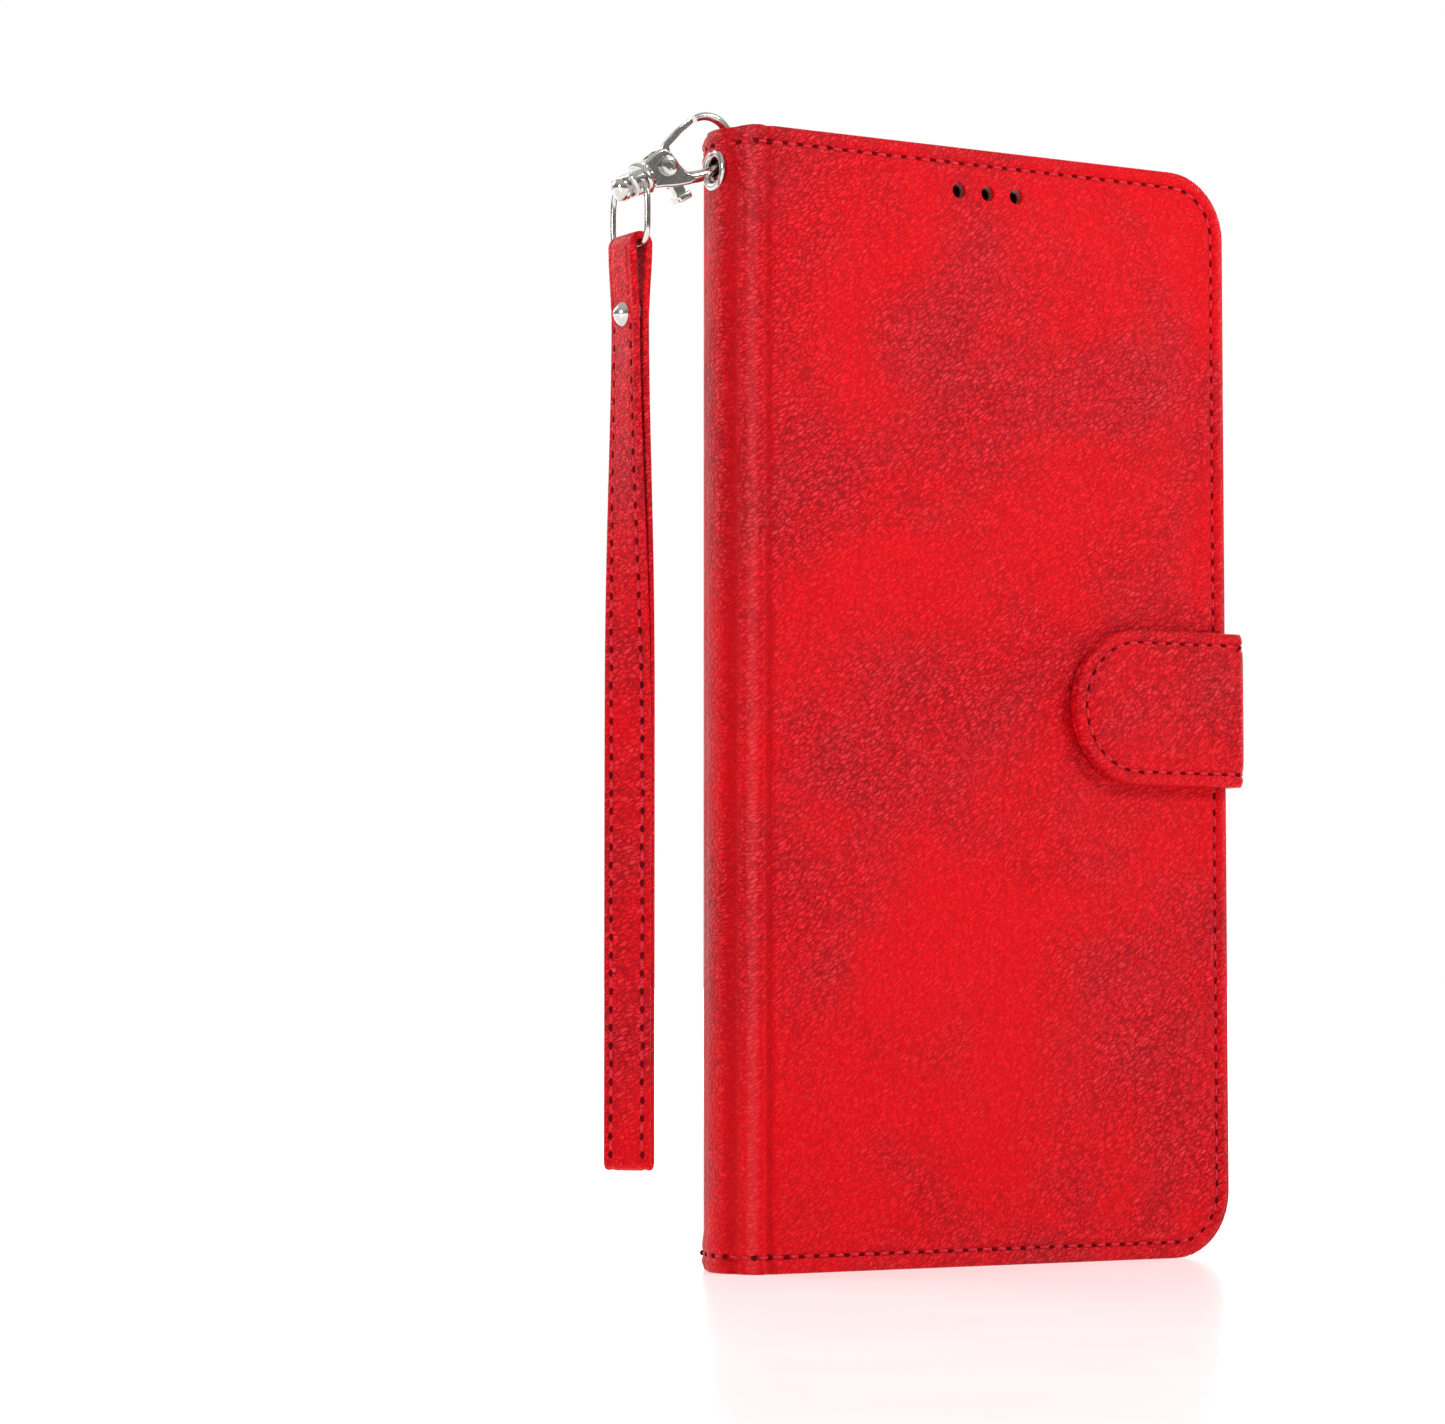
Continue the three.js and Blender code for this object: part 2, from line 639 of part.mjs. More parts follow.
function claspGate() {
  const half = GATE_THICKNESS / 2;
  const points = [
    [-crown - 0.6, -0.75], [-crown + 0.5, -0.75], [-2.5, -6.4], [0.6, -7.2], [5.6, -7.35],
    [5.6, -8.7], [1.2, -9], [0.8, -9.7], [-0.8, -9.7], [-1.6, -8.6], [-3.7, -6.6],
  ];
  const arm = plate(new THREE.Shape(points.map(([x, z]) => new THREE.Vector2(x, z)).reverse()), half, 2 * half);
  const bore = rod(0.6 + FIT, [0, -2, -PIVOT_DROP], [0, 2, -PIVOT_DROP], 12);
  add("gate_lever", cut(arm, bore), "nickel", clasp);

  const face = CLASP_THICKNESS / 2 + FIT;
  const pin = rod(0.6, [0, -face - 0.2, -PIVOT_DROP], [0, face + 0.2, -PIVOT_DROP], 12);
  const heads = [-1, 1].map((side) =>
    rod(1.5, [0, side * face, -PIVOT_DROP], [0, side * (face + 0.5), -PIVOT_DROP], 16),
  );
  add("gate_rivet", join(pin, ...heads), "nickel", clasp);
  const leaf = block([-1.4, -half, -10.4], [1.4, half, -10.05]);
  add("gate_spring", leaf, "steel", clasp);
}

const blockMiddle = BLOCK_TOP + BLOCK_LENGTH / 2;
const postEnd = BLOCK_TOP + BLOCK_LENGTH + FIT;

function swivel() {
  const halfWidth = BLOCK_WIDTH / 2;
  const halfDepth = BLOCK_DEPTH / 2;
  const body = block(
    [-halfDepth, -halfWidth, -BLOCK_TOP - BLOCK_LENGTH],
    [halfDepth, halfWidth, -BLOCK_TOP],
  );
  const bore = rod(POST_RADIUS + FIT, [0, 0, -BLOCK_TOP + 1], [0, 0, -postEnd - 1]);
  const ears = [-1, 1].map((side) =>
    rod(
      RING_WIRE / 2 + FIT,
      [0, side * (halfWidth - 1.45), -blockMiddle],
      [0, side * (halfWidth + 1), -blockMiddle],
      12,
    ),
  );
  add("swivel_block", cut(body, bore, ...ears), "nickel", clasp);
  const post = rod(POST_RADIUS, [0, 0, -COLLAR_TOP - 0.4 - FIT], [0, 0, -postEnd - 0.2], 16);
  const head = rod(HEAD_RADIUS, [0, 0, -postEnd], [0, 0, -postEnd - HEAD_LENGTH], 16);
  add("swivel_rivet", join(post, head), "nickel", clasp);
}

// ---- Ring and strap, which hang straight down from the swivel ----

const ringX = claspX - blockMiddle * Math.sin(tilt);
const ringZ = claspZ - blockMiddle * Math.cos(tilt);
const foldZ = ringZ - RING_DROP;
const hanging = new THREE.Group();
hanging.position.set(ringX, spineMid, 0);
part.add(hanging);

function ring() {
  const side = (RING_WIDTH - RING_WIRE) / 2;
  const inner = BLOCK_WIDTH / 2 - 1.3;
  const straight = STRAP_WIDTH / 2 + 0.2;
  const half = [
    [0, inner, ringZ],
    [0, inner + 0.9, ringZ],
    [0, side - 0.7, ringZ - 0.7],
    [0, side, ringZ - 2.8],
    [0, side, ringZ - RING_DROP + 3],
    [0, straight + 0.7, foldZ + 0.45],
    [0, straight - 0.6, foldZ],
  ];
  const mirrored = half.map(([x, y, z]) => [x, -y, z]).reverse();
  add("swivel_ring", wire(RING_WIRE / 2, [...half, ...mirrored], 36), "nickel", hanging);
}

// The strap's turn about its long axis at a height: none at the rivet, all of it half way down.
function strapTurn(z) {
  const drop = THREE.MathUtils.smoothstep(foldZ - STRAP_RIVET_DROP - z, 0, STRAP_LENGTH / 2);
  return THREE.MathUtils.degToRad(STRAP_TWIST) * drop;
}

// A closed band of leather: pairs of outer and inner X-Z points, as wide as the strap.
function closedBand(outer, inner) {
  const corners = outer.flatMap(([x, z], i) => {
    const [innerX, innerZ] = inner[i];
    const half = STRAP_WIDTH / 2;
    return [[x, half, z], [x, -half, z], [innerX, -half, innerZ], [innerX, half, innerZ]];
  });
  const turned = corners.flatMap(([x, y, z]) => {
    const angle = strapTurn(z);
    return [x * Math.cos(angle) - y * Math.sin(angle), x * Math.sin(angle) + y * Math.cos(angle), z];
  });
  const faces = [];
  outer.forEach((_, i) => {
    const here = 4 * i;
    const next = 4 * ((i + 1) % outer.length);
    for (let side = 0; side < 4; side += 1) {
      const other = (side + 1) % 4;
      faces.push(here + side, next + other, here + other, here + side, next + side, next + other);
    }
  });
  const geometry = new THREE.BufferGeometry();
  geometry.setAttribute("position", new THREE.Float32BufferAttribute(turned, 3)).setIndex(faces);
  return geometry;
}

function strap() {
  const foldInner = RING_WIRE / 2 + FIT;
  const narrow = 0.2;
  const bottom = foldZ + foldInner + STRAP_LAYER - STRAP_LENGTH;
  const rivetZ = foldZ - STRAP_RIVET_DROP;
  const side = (layers) => {
    const steps = Array.from({ length: 15 }, (_, i) => rivetZ - ((rivetZ - bottom - 3) * i) / 14);
    return [[foldInner + layers, foldZ], [foldInner + layers, foldZ - 2], ...steps.map((z) => [narrow + layers, z])];
  };
  const loop = (layers, low) => {
    const right = side(layers).reverse();
    const over = arcPoints(0, foldZ, foldInner + layers, 0, 180, 8).map(([x, , z]) => [x, z]);
    const left = side(layers).map(([x, z]) => [-x, z]);
    return [...right, ...over.slice(1, -1), ...left, [-narrow - layers, low], [narrow + layers, low]];
  };
  const band = closedBand(loop(STRAP_LAYER, bottom), loop(0, bottom + STRAP_LAYER));
  const rivetFace = narrow + STRAP_LAYER;
  const rivetBore = rod(0.9 + FIT, [-5, 0, rivetZ], [5, 0, rivetZ], 12);
  add("strap_loop", cut(band, rivetBore), "leather", hanging);

  const flat = rivetFace + FIT;
  const cap = [[0, 1.1], [1.2, 0.95], [2.1, 0.6], [STRAP_RIVET_RADIUS, 0], [0, 0]];
  const profile = cap.map(([r, h]) => new THREE.Vector2(r, h)).reverse();
  const dome = new THREE.LatheGeometry(profile, 18).rotateZ(Math.PI / 2).translate(-flat, 0, rivetZ);
  const shank = rod(0.9, [-flat - 0.3, 0, rivetZ], [flat - 0.1, 0, rivetZ], 12);
  add("strap_rivet_cap", join(dome, shank), "nickel", hanging);
  const back = rod(2.2, [flat, 0, rivetZ], [flat + 0.6, 0, rivetZ], 16);
  add("strap_rivet_back", back, "nickel", hanging);
}

backCover();
spine();
strapEyelet();
frontCover();
pockets();
tabBand();
tabFlap();
bumper();
caseBack();
claspHook();
claspGate();
swivel();
ring();
strap();

export default part;
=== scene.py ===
"""Looks of a folio wallet case: folded leather skin, stitching, pockets, inner case, clasp and strap.

Sizes are in millimetres, and what is built is in metres in the part's own frame: +X runs from the
spine to the fore edge, +Y to the rear and +Z up. Flat goods are modelled flat, as a maker cuts
them: u runs along the cut, the depth goes into the leather, and the outer face is at depth 0.
They are then folded along a section line.
"""

from __future__ import annotations

import json
import logging
import math
import random
from collections.abc import Callable, Sequence
from dataclasses import dataclass, field
from enum import Enum

import bpy
import numpy as np
from mathutils import Matrix, Vector

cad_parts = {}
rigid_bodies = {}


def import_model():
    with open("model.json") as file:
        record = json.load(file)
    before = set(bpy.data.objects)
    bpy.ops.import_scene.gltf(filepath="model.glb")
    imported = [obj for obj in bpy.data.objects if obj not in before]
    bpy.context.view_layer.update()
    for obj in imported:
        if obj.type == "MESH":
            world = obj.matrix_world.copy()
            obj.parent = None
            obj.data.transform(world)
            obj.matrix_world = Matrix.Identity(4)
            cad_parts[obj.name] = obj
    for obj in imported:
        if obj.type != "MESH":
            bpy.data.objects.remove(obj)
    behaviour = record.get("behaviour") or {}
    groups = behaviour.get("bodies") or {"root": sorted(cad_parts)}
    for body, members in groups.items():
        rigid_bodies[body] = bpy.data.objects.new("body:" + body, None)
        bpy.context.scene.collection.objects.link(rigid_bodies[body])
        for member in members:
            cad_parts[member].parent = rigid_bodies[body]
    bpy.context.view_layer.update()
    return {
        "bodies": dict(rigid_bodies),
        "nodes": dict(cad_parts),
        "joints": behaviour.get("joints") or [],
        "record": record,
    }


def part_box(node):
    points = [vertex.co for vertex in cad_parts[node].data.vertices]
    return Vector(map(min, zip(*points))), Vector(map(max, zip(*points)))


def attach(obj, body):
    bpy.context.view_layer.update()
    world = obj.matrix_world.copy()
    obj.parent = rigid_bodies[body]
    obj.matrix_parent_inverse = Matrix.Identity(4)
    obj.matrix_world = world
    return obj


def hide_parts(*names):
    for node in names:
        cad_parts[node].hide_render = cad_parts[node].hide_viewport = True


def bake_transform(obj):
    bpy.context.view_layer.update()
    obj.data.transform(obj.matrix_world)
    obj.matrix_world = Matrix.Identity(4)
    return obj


LOG = logging.getLogger("wallet")
MM = 0.001
SEED = 11
CREST = "crest"
WHITE = (1, 1, 1, 1)
X, Y, Z = 0, 1, 2
REAR = Vector((0, 1, 0))
FRONT = Vector((0, -1, 0))

Point = tuple[float, float, float]
Colour = tuple[float, float, float, float]
Rect = tuple[float, float, float, float]
Place = Callable[[np.ndarray], np.ndarray]


class Slot(Enum):
    """The names of the wallet's finishes."""

    LEATHER = "red_leather"
    LINING = "red_lining"
    BOARD = "panel_board"
    MAGNET = "magnet"
    STEEL = "steel_plate"
    RUBBER = "black_rubber"
    NICKEL = "nickel"


@dataclass(frozen=True)
class Extent:
    """A box in millimetres.

    Args:
        low: The lowest corner.
        high: The highest corner.
    """

    low: Vector
    high: Vector

    @classmethod
    def of(cls, node: str) -> Extent:
        """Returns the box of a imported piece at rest."""
        low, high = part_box(node)
        return cls(low / MM, high / MM)

    @property
    def middle(self) -> Vector:
        """The middle of the box."""
        return (self.low + self.high) / 2

    def grown(self, by: float, axes: Sequence[int]) -> Extent:
        """Returns the box with each side moved outwards along the given axes."""
        step = Vector([by if axis in axes else 0.0 for axis in range(3)])
        return Extent(self.low - step, self.high + step)


# ---- Workbench ----


class Bench:
    """The modelling tools. They work on one piece at a time and take millimetres."""

    @staticmethod
    def clear() -> None:
        """Leaves edit mode and selects nothing."""
        if bpy.context.object is not None and bpy.context.object.mode != "OBJECT":
            bpy.ops.object.mode_set(mode="OBJECT")
        bpy.ops.object.select_all(action="DESELECT")

    @staticmethod
    def take(*pieces: bpy.types.Object) -> None:
        """Selects these pieces alone. The first one is the active one."""
        Bench.clear()
        for piece in pieces:
            piece.select_set(True)
        bpy.context.view_layer.objects.active = pieces[0]

    @staticmethod
    def settle(piece: bpy.types.Object) -> bpy.types.Object:
        """Puts a piece's place, turn and scale into its mesh and returns the piece."""
        Bench.take(piece)
        bpy.ops.object.transform_apply(location=True, rotation=True, scale=True)
        Bench.clear()
        return piece

    @staticmethod
    def fresh(name: str) -> bpy.types.Object:
        """Names the primitive that was just added and returns it."""
        piece = bpy.context.object
        piece.name = piece.data.name = name
        return piece

    @staticmethod
    def block(name: str, box: Extent) -> bpy.types.Object:
        """Returns a block that fills a box."""
        Bench.clear()
        bpy.ops.mesh.primitive_cube_add(size=1, location=box.middle * MM)
        piece = Bench.fresh(name)
        piece.scale = (box.high - box.low) * MM
        return Bench.settle(piece)

    @staticmethod
    def faces(piece: bpy.types.Object, test: Callable[[Vector, Vector], bool]) -> None:
        """Selects the faces whose middle and normal pass the test, ready to edit."""
        Bench._start(piece, (False, False, True))
        for face in piece.data.polygons:
            face.select = test(face.center / MM, face.normal)
        bpy.ops.object.mode_set(mode="EDIT")

    @staticmethod
    def edges(piece: bpy.types.Object, test: Callable[[Vector, Vector], bool]) -> None:
        """Selects the edges whose two ends pass the test, ready to edit."""
        Bench._start(piece, (False, True, False))
        points = [vertex.co / MM for vertex in piece.data.vertices]
        found = [e for e in piece.data.edges if test(points[e.vertices[0]], points[e.vertices[1]])]
        for edge in found:
            edge.select = True
            for index in edge.vertices:
                piece.data.vertices[index].select = True
        if not found:
            LOG.warning("no edge to pick on %s", piece.name)
        bpy.ops.object.mode_set(mode="EDIT")

    @staticmethod
    def _start(piece: bpy.types.Object, mode: tuple[bool, bool, bool]) -> None:
        """Deselects every part of the mesh and sets what is picked next."""
        Bench.take(piece)
        bpy.context.tool_settings.mesh_select_mode = mode
        bpy.ops.object.mode_set(mode="EDIT")
        bpy.ops.mesh.select_all(action="DESELECT")
        bpy.ops.object.mode_set(mode="OBJECT")

    @staticmethod
    def round_off(radius: float, steps: int) -> None:
        """Rounds the selected edges."""
        bpy.ops.mesh.bevel(offset=radius * MM, segments=steps, profile=0.5, affect="EDGES")

    @staticmethod
    def rings(
        piece: bpy.types.Object,
        side: Vector,
        steps: Sequence[tuple[float, float]],
        open_ends: bool = False,
    ) -> None:
        """Sets rings into the flat face on one side.

        Args:
            piece: The piece.
            side: The way the face looks.
            steps: Each ring's width, and how far it rises from the one before.
            open_ends: The rings run out through the ends of an open strip.
        """
        Bench.faces(piece, lambda _, normal: normal.dot(side) > 0.9999)
        for width, rise in steps:
            bpy.ops.mesh.inset(
                thickness=width * MM,
                depth=rise * MM,
                use_boundary=not open_ends,
                use_even_offset=True,
            )
        Bench.clear()

    @staticmethod
    def slices(piece: bpy.types.Object, axis: int, places: Sequence[float]) -> None:
        """Cuts new edge loops across a piece at these places along an axis."""
        Bench.take(piece)
        bpy.ops.object.mode_set(mode="EDIT")
        normal = [0.0, 0.0, 0.0]
        normal[axis] = 1.0
        for place in places:
            at = [0.0, 0.0, 0.0]
            at[axis] = place * MM
            bpy.ops.mesh.select_all(action="SELECT")
            bpy.ops.mesh.bisect(plane_co=at, plane_no=normal)
        Bench.clear()

    @staticmethod
    def keep_half(piece: bpy.types.Object, axis: int, place: float, upper: bool) -> None:
        """Cuts a piece in two along an axis, closes the cut and keeps one half."""
        Bench.take(piece)
        bpy.ops.object.mode_set(mode="EDIT")
        bpy.ops.mesh.select_all(action="SELECT")
        at, normal = [0.0, 0.0, 0.0], [0.0, 0.0, 0.0]
        at[axis], normal[axis] = place * MM, 1.0
        bpy.ops.mesh.bisect(
            plane_co=at, plane_no=normal, use_fill=True, clear_inner=upper, clear_outer=not upper
        )
        Bench.clear()

    @staticmethod
    def copy(piece: bpy.types.Object, name: str) -> bpy.types.Object:
        """Returns a copy with its own mesh."""
        twin = piece.copy()
        twin.data = piece.data.copy()
        twin.name = twin.data.name = name
        bpy.context.scene.collection.objects.link(twin)
        return twin

    @staticmethod
    def carve(piece: bpy.types.Object, *tools: bpy.types.Object) -> None:
        """Cuts the tools out of a piece and throws the tools away."""
        for tool in tools:
            Bench.take(piece)
            bpy.ops.object.modifier_add(type="BOOLEAN")
            cutter = piece.modifiers[-1]
            cutter.operation, cutter.solver, cutter.object = "DIFFERENCE", "EXACT", tool
            bpy.ops.object.modifier_apply(modifier=cutter.name)
            bpy.data.objects.remove(tool)
        Bench.clear()

    @staticmethod
    def soften(piece: bpy.types.Object, width: float, steps: int, angle: float) -> None:
        """Rounds every sharp edge of a piece a little."""
        Bench.take(piece)
        bpy.ops.object.modifier_add(type="BEVEL")
        bevel = piece.modifiers[-1]
        bevel.width, bevel.segments, bevel.limit_method = width * MM, steps, "ANGLE"
        bevel.angle_limit = math.radians(angle)
        bpy.ops.object.modifier_apply(modifier=bevel.name)
        Bench.clear()

    @staticmethod
    def join(name: str, pieces: Sequence[bpy.types.Object]) -> bpy.types.Object:
        """Makes several pieces one and returns it."""
        Bench.take(*pieces)
        bpy.ops.object.join()
        return Bench.settle(Bench.fresh(name))

    @staticmethod
    def tidy(piece: bpy.types.Object, merge: float = 0.002, outward: bool = True) -> None:
        """Merges doubled points and turns the faces outwards."""
        Bench.take(piece)
        bpy.ops.object.mode_set(mode="EDIT")
        bpy.ops.mesh.select_all(action="SELECT")
        bpy.ops.mesh.remove_doubles(threshold=merge * MM)
        if outward:
            bpy.ops.mesh.normals_make_consistent(inside=False)
        Bench.clear()

    @staticmethod
    def smooth(piece: bpy.types.Object, angle: float) -> None:
        """Shades a piece smooth, but for edges sharper than the angle."""
        Bench.take(piece)
        bpy.ops.object.shade_smooth_by_angle(angle=math.radians(angle))
        bpy.ops.object.modifier_add(type="WEIGHTED_NORMAL")
        weights = piece.modifiers[-1]
        weights.keep_sharp, weights.weight = True, 60
        bpy.ops.object.modifier_apply(modifier=weights.name)
        Bench.clear()

    @staticmethod
    def move(piece: bpy.types.Object, place: Place) -> None:
        """Moves each point of a mesh to its new place, in millimetres."""
        count = len(piece.data.vertices)
        flat = np.empty(count * 3)
        piece.data.vertices.foreach_get("co", flat)
        moved = place(flat.reshape(-1, 3) / MM) * MM
        piece.data.vertices.foreach_set("co", moved.ravel())
        piece.data.update()

    @staticmethod
    def slab(
        name: str, box: Extent, corner: float, rim: float, axis: int, steps: tuple[int, int]
    ) -> bpy.types.Object:
        """Returns a plate with round corners and soft rims.

        Args:
            name: The piece's name.
            box: The box it fills.
            corner: The corner radius, seen along the axis.
            rim: The radius of its two rims.
            axis: The axis along its thickness.
            steps: How many faces round a corner, and round a rim.

        Returns:
            The plate.
        """
        piece = Bench.block(name, box)
        across = [a for a in (X, Y, Z) if a != axis]
        if corner > 0:
            Bench.edges(piece, lambda a, b: all(abs(a[i] - b[i]) < 1e-4 for i in across))
            Bench.round_off(corner, steps[0])
        if rim > 0:
            ends = (box.low[axis], box.high[axis])
            Bench.edges(
                piece,
                lambda a, b: any(abs(a[axis] - e) < 1e-3 and abs(b[axis] - e) < 1e-3 for e in ends),
            )
            Bench.round_off(rim, steps[1])
        Bench.clear()
        return piece

    @staticmethod
    def rod(
        name: str, middle: Point, radius: float, length: float, axis: int, sides: int = 24
    ) -> bpy.types.Object:
        """Returns a round rod along an axis, to cut with or to turn."""
        Bench.clear()
        turn = [(0, math.pi / 2, 0), (math.pi / 2, 0, 0), (0, 0, 0)][axis]
        bpy.ops.mesh.primitive_cylinder_add(
            vertices=sides,
            radius=radius * MM,
            depth=length * MM,
            location=Vector(middle) * MM,
            rotation=turn,
        )
        return Bench.settle(Bench.fresh(name))

    @staticmethod
    def turned(
        name: str,
        middle: Point,
        axis: int,
        sections: Sequence[tuple[float, float]],
        sides: int = 32,
    ) -> bpy.types.Object:
        """Returns a lathe-turned piece.

        Args:
            name: The piece's name.
            middle: A point on its axis, which the sections count from.
            axis: Its axis.
            sections: Place along the axis and radius, in rising order.
            sides: How many faces it has round the axis.

        Returns:
            The piece.
        """
        places = np.array([place for place, _ in sections])
        radii = np.array([radius for _, radius in sections])
        centre = Vector(middle)
        centre[axis] += float(places[0] + places[-1]) / 2
        piece = Bench.rod(name, tuple(centre), 1.0, float(places[-1] - places[0]), axis, sides)
        Bench.slices(piece, axis, [middle[axis] + p for p in places[1:-1]])
        across = [a for a in (X, Y, Z) if a != axis]

        def turn(points: np.ndarray) -> np.ndarray:
            """Gives each point the radius at its place."""
            out = points.copy()
            scale = np.interp(points[:, axis] - middle[axis], places, radii)
            for a in across:
                out[:, a] = middle[a] + (points[:, a] - middle[a]) * scale
            return out

        Bench.move(piece, turn)
        return piece

    @staticmethod
    def spun(
        name: str, middle: Point, axis: int, profile: Sequence[tuple[float, float]], sides: int
    ) -> bpy.types.Object:
        """Returns a ring spun round an axis from a closed profile.

        Args:
            name: The piece's name.
            middle: A point on its axis.
            axis: Its axis.
            profile: Radius and place along the axis, all round the section.
            sides: How many faces it has round the axis.

        Returns:
            The ring.
        """
        Bench.clear()
        bpy.ops.mesh.primitive_circle_add(vertices=len(profile), radius=MM, fill_type="NOTHING")
        piece = Bench.fresh(name)
        out = (axis + 1) % 3
        for vertex, (radius, place) in zip(piece.data.vertices, profile):
            point = Vector(middle)
            point[out] += radius
            point[axis] += place
            vertex.co = point * MM
        Bench.take(piece)
        bpy.ops.object.mode_set(mode="EDIT")
        bpy.ops.mesh.select_all(action="SELECT")
        turn_axis = [0.0, 0.0, 0.0]
        turn_axis[axis] = 1.0
        bpy.ops.mesh.spin(
            steps=sides, angle=2 * math.pi, center=Vector(middle) * MM, axis=turn_axis
        )
        Bench.tidy(piece)
        return piece

    @staticmethod
    def prism(
        name: str, outline: Sequence[tuple[float, float]], half: float, edge: float, steps: int
    ) -> bpy.types.Object:
        """Returns a plate cut to an X-Z outline, as thick as twice half, with soft edges."""
        Bench.clear()
        bpy.ops.mesh.primitive_circle_add(vertices=len(outline), radius=MM, fill_type="NGON")
        piece = Bench.fresh(name)
        for vertex, (x, z) in zip(piece.data.vertices, outline):
            vertex.co = Vector((x, half, z)) * MM
        Bench.take(piece)
        bpy.ops.object.mode_set(mode="EDIT")
        bpy.ops.mesh.select_all(action="SELECT")
        bpy.ops.mesh.extrude_region_move(
            TRANSFORM_OT_translate={"value": (0.0, -2 * half * MM, 0.0)}
        )
        Bench.tidy(piece)
        Bench.soften(piece, edge, steps, 25)
        return piece

    @staticmethod
    def wire(
        name: str,
        points: Sequence[Point],
        radius: float,
        swell: Sequence[float] | None = None,
    ) -> bpy.types.Object:
        """Returns a round wire along a row of points.

        Args:
            name: The piece's name.
            points: The centreline.
            radius: The wire's radius.
            swell: A share of the radius at each point.

        Returns:
            The wire as a mesh.
        """
        Bench.clear()
        bpy.ops.curve.primitive_nurbs_path_add(radius=MM)
        piece = Bench.fresh(name)
        curve = piece.data
        curve.splines.clear()
        line = curve.splines.new("POLY")
        line.points.add(len(points) - 1)
        for index, place in enumerate(points):
            line.points[index].co = (*(Vector(place) * MM), 1.0)
            line.points[index].radius = swell[index] if swell else 1.0
        curve.dimensions, curve.bevel_depth, curve.bevel_resolution = "3D", radius * MM, 4
        curve.use_fill_caps = True
        Bench.take(piece)
        bpy.ops.object.convert(target="MESH")
        piece = Bench.settle(Bench.fresh(name))
        Bench.tidy(piece)
        return piece


def edge_distance(u: float, z: float, box: Rect, radius: float) -> float:
    """Returns how far a flat point is outside a round-cornered box (left, right, bottom, top)."""
    left, right, bottom, top = box
    qx = abs(u - (left + right) / 2) - (right - left) / 2 + radius
    qz = abs(z - (bottom + top) / 2) - (top - bottom) / 2 + radius
    return math.hypot(max(qx, 0), max(qz, 0)) + min(max(qx, qz), 0) - radius


def soften_hole(
    piece: bpy.types.Object, box: Rect, corner: float, radius: float, face: float = 0.0
) -> None:
    """Rounds the rim of a hole where it meets one face of a flat sheet.

    Args:
        piece: The flat sheet.
        box: The hole's left, right, bottom and top.
        corner: The hole's corner radius.
        radius: The rounding.
        face: The depth of that face.
    """
    Bench.edges(
        piece,
        lambda a, b: all(
            abs(edge_distance(p.x, p.z, box, corner)) < 0.03 and abs(p.y - face) < 0.32
            for p in (a, b)
        ),
    )
    Bench.round_off(radius, 3)
    Bench.clear()


def ease(share: float | np.ndarray) -> float | np.ndarray:
    """Returns a share from 0 to 1 with a soft start and a soft end."""
    return share**2 * (3 - 2 * share)


def rear_face(y: float) -> Place:
    """Returns what puts flat points on a rear face at that place along Y."""
    return lambda flat: np.stack([flat[:, 0], y - flat[:, 1], flat[:, 2]], axis=1)


def hand_over(
    piece: bpy.types.Object, angle: float, body: str, slot: Slot, *nodes: str
) -> None:
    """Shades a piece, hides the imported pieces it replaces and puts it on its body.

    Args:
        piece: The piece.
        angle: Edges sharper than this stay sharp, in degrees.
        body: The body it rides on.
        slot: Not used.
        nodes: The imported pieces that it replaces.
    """
    Bench.smooth(piece, angle)
    if nodes:
        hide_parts(*nodes)
    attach(piece, body)
    LOG.info("built %s", piece.name)


# ---- Finishes ----


class Nodes:
    """A tree of shading nodes, put together step by step."""

    def __init__(self, tree: bpy.types.NodeTree) -> None:
        """Starts on a tree."""
        self.tree = tree

    def node(self, kind: str, **settings: object) -> bpy.types.Node:
        """Adds a node and sets its choices."""
        made = self.tree.nodes.new(kind)
        for key, value in settings.items():
            setattr(made, key, value)
        return made

    def feed(self, socket: bpy.types.NodeSocket, value: object) -> None:
        """Links an output to a socket, or sets the socket to a plain value."""
        if isinstance(value, bpy.types.NodeSocket):
            self.tree.links.new(value, socket)
        else:
            socket.default_value = value

    def sums(self, operation: str, a: object, b: object, c: object = 0.5) -> bpy.types.NodeSocket:
        """Returns what an operation makes of two or three values."""
        made = self.node("ShaderNodeMath", operation=operation)
        for socket, value in zip(made.inputs, (a, b, c)):
            self.feed(socket, value)
        return made.outputs[0]

    def range(
        self, value: bpy.types.NodeSocket, low: float, high: float, to: tuple[float, float] = (0, 1)
    ) -> bpy.types.NodeSocket:
        """Returns a value brought from one range to another, with soft ends."""
        made = self.node("ShaderNodeMapRange", interpolation_type="SMOOTHSTEP")
        for name, number in (
            ("From Min", low),
            ("From Max", high),
            ("To Min", to[0]),
            ("To Max", to[1]),
        ):
            made.inputs[name].default_value = number
        self.feed(made.inputs["Value"], value)
        return made.outputs["Result"]


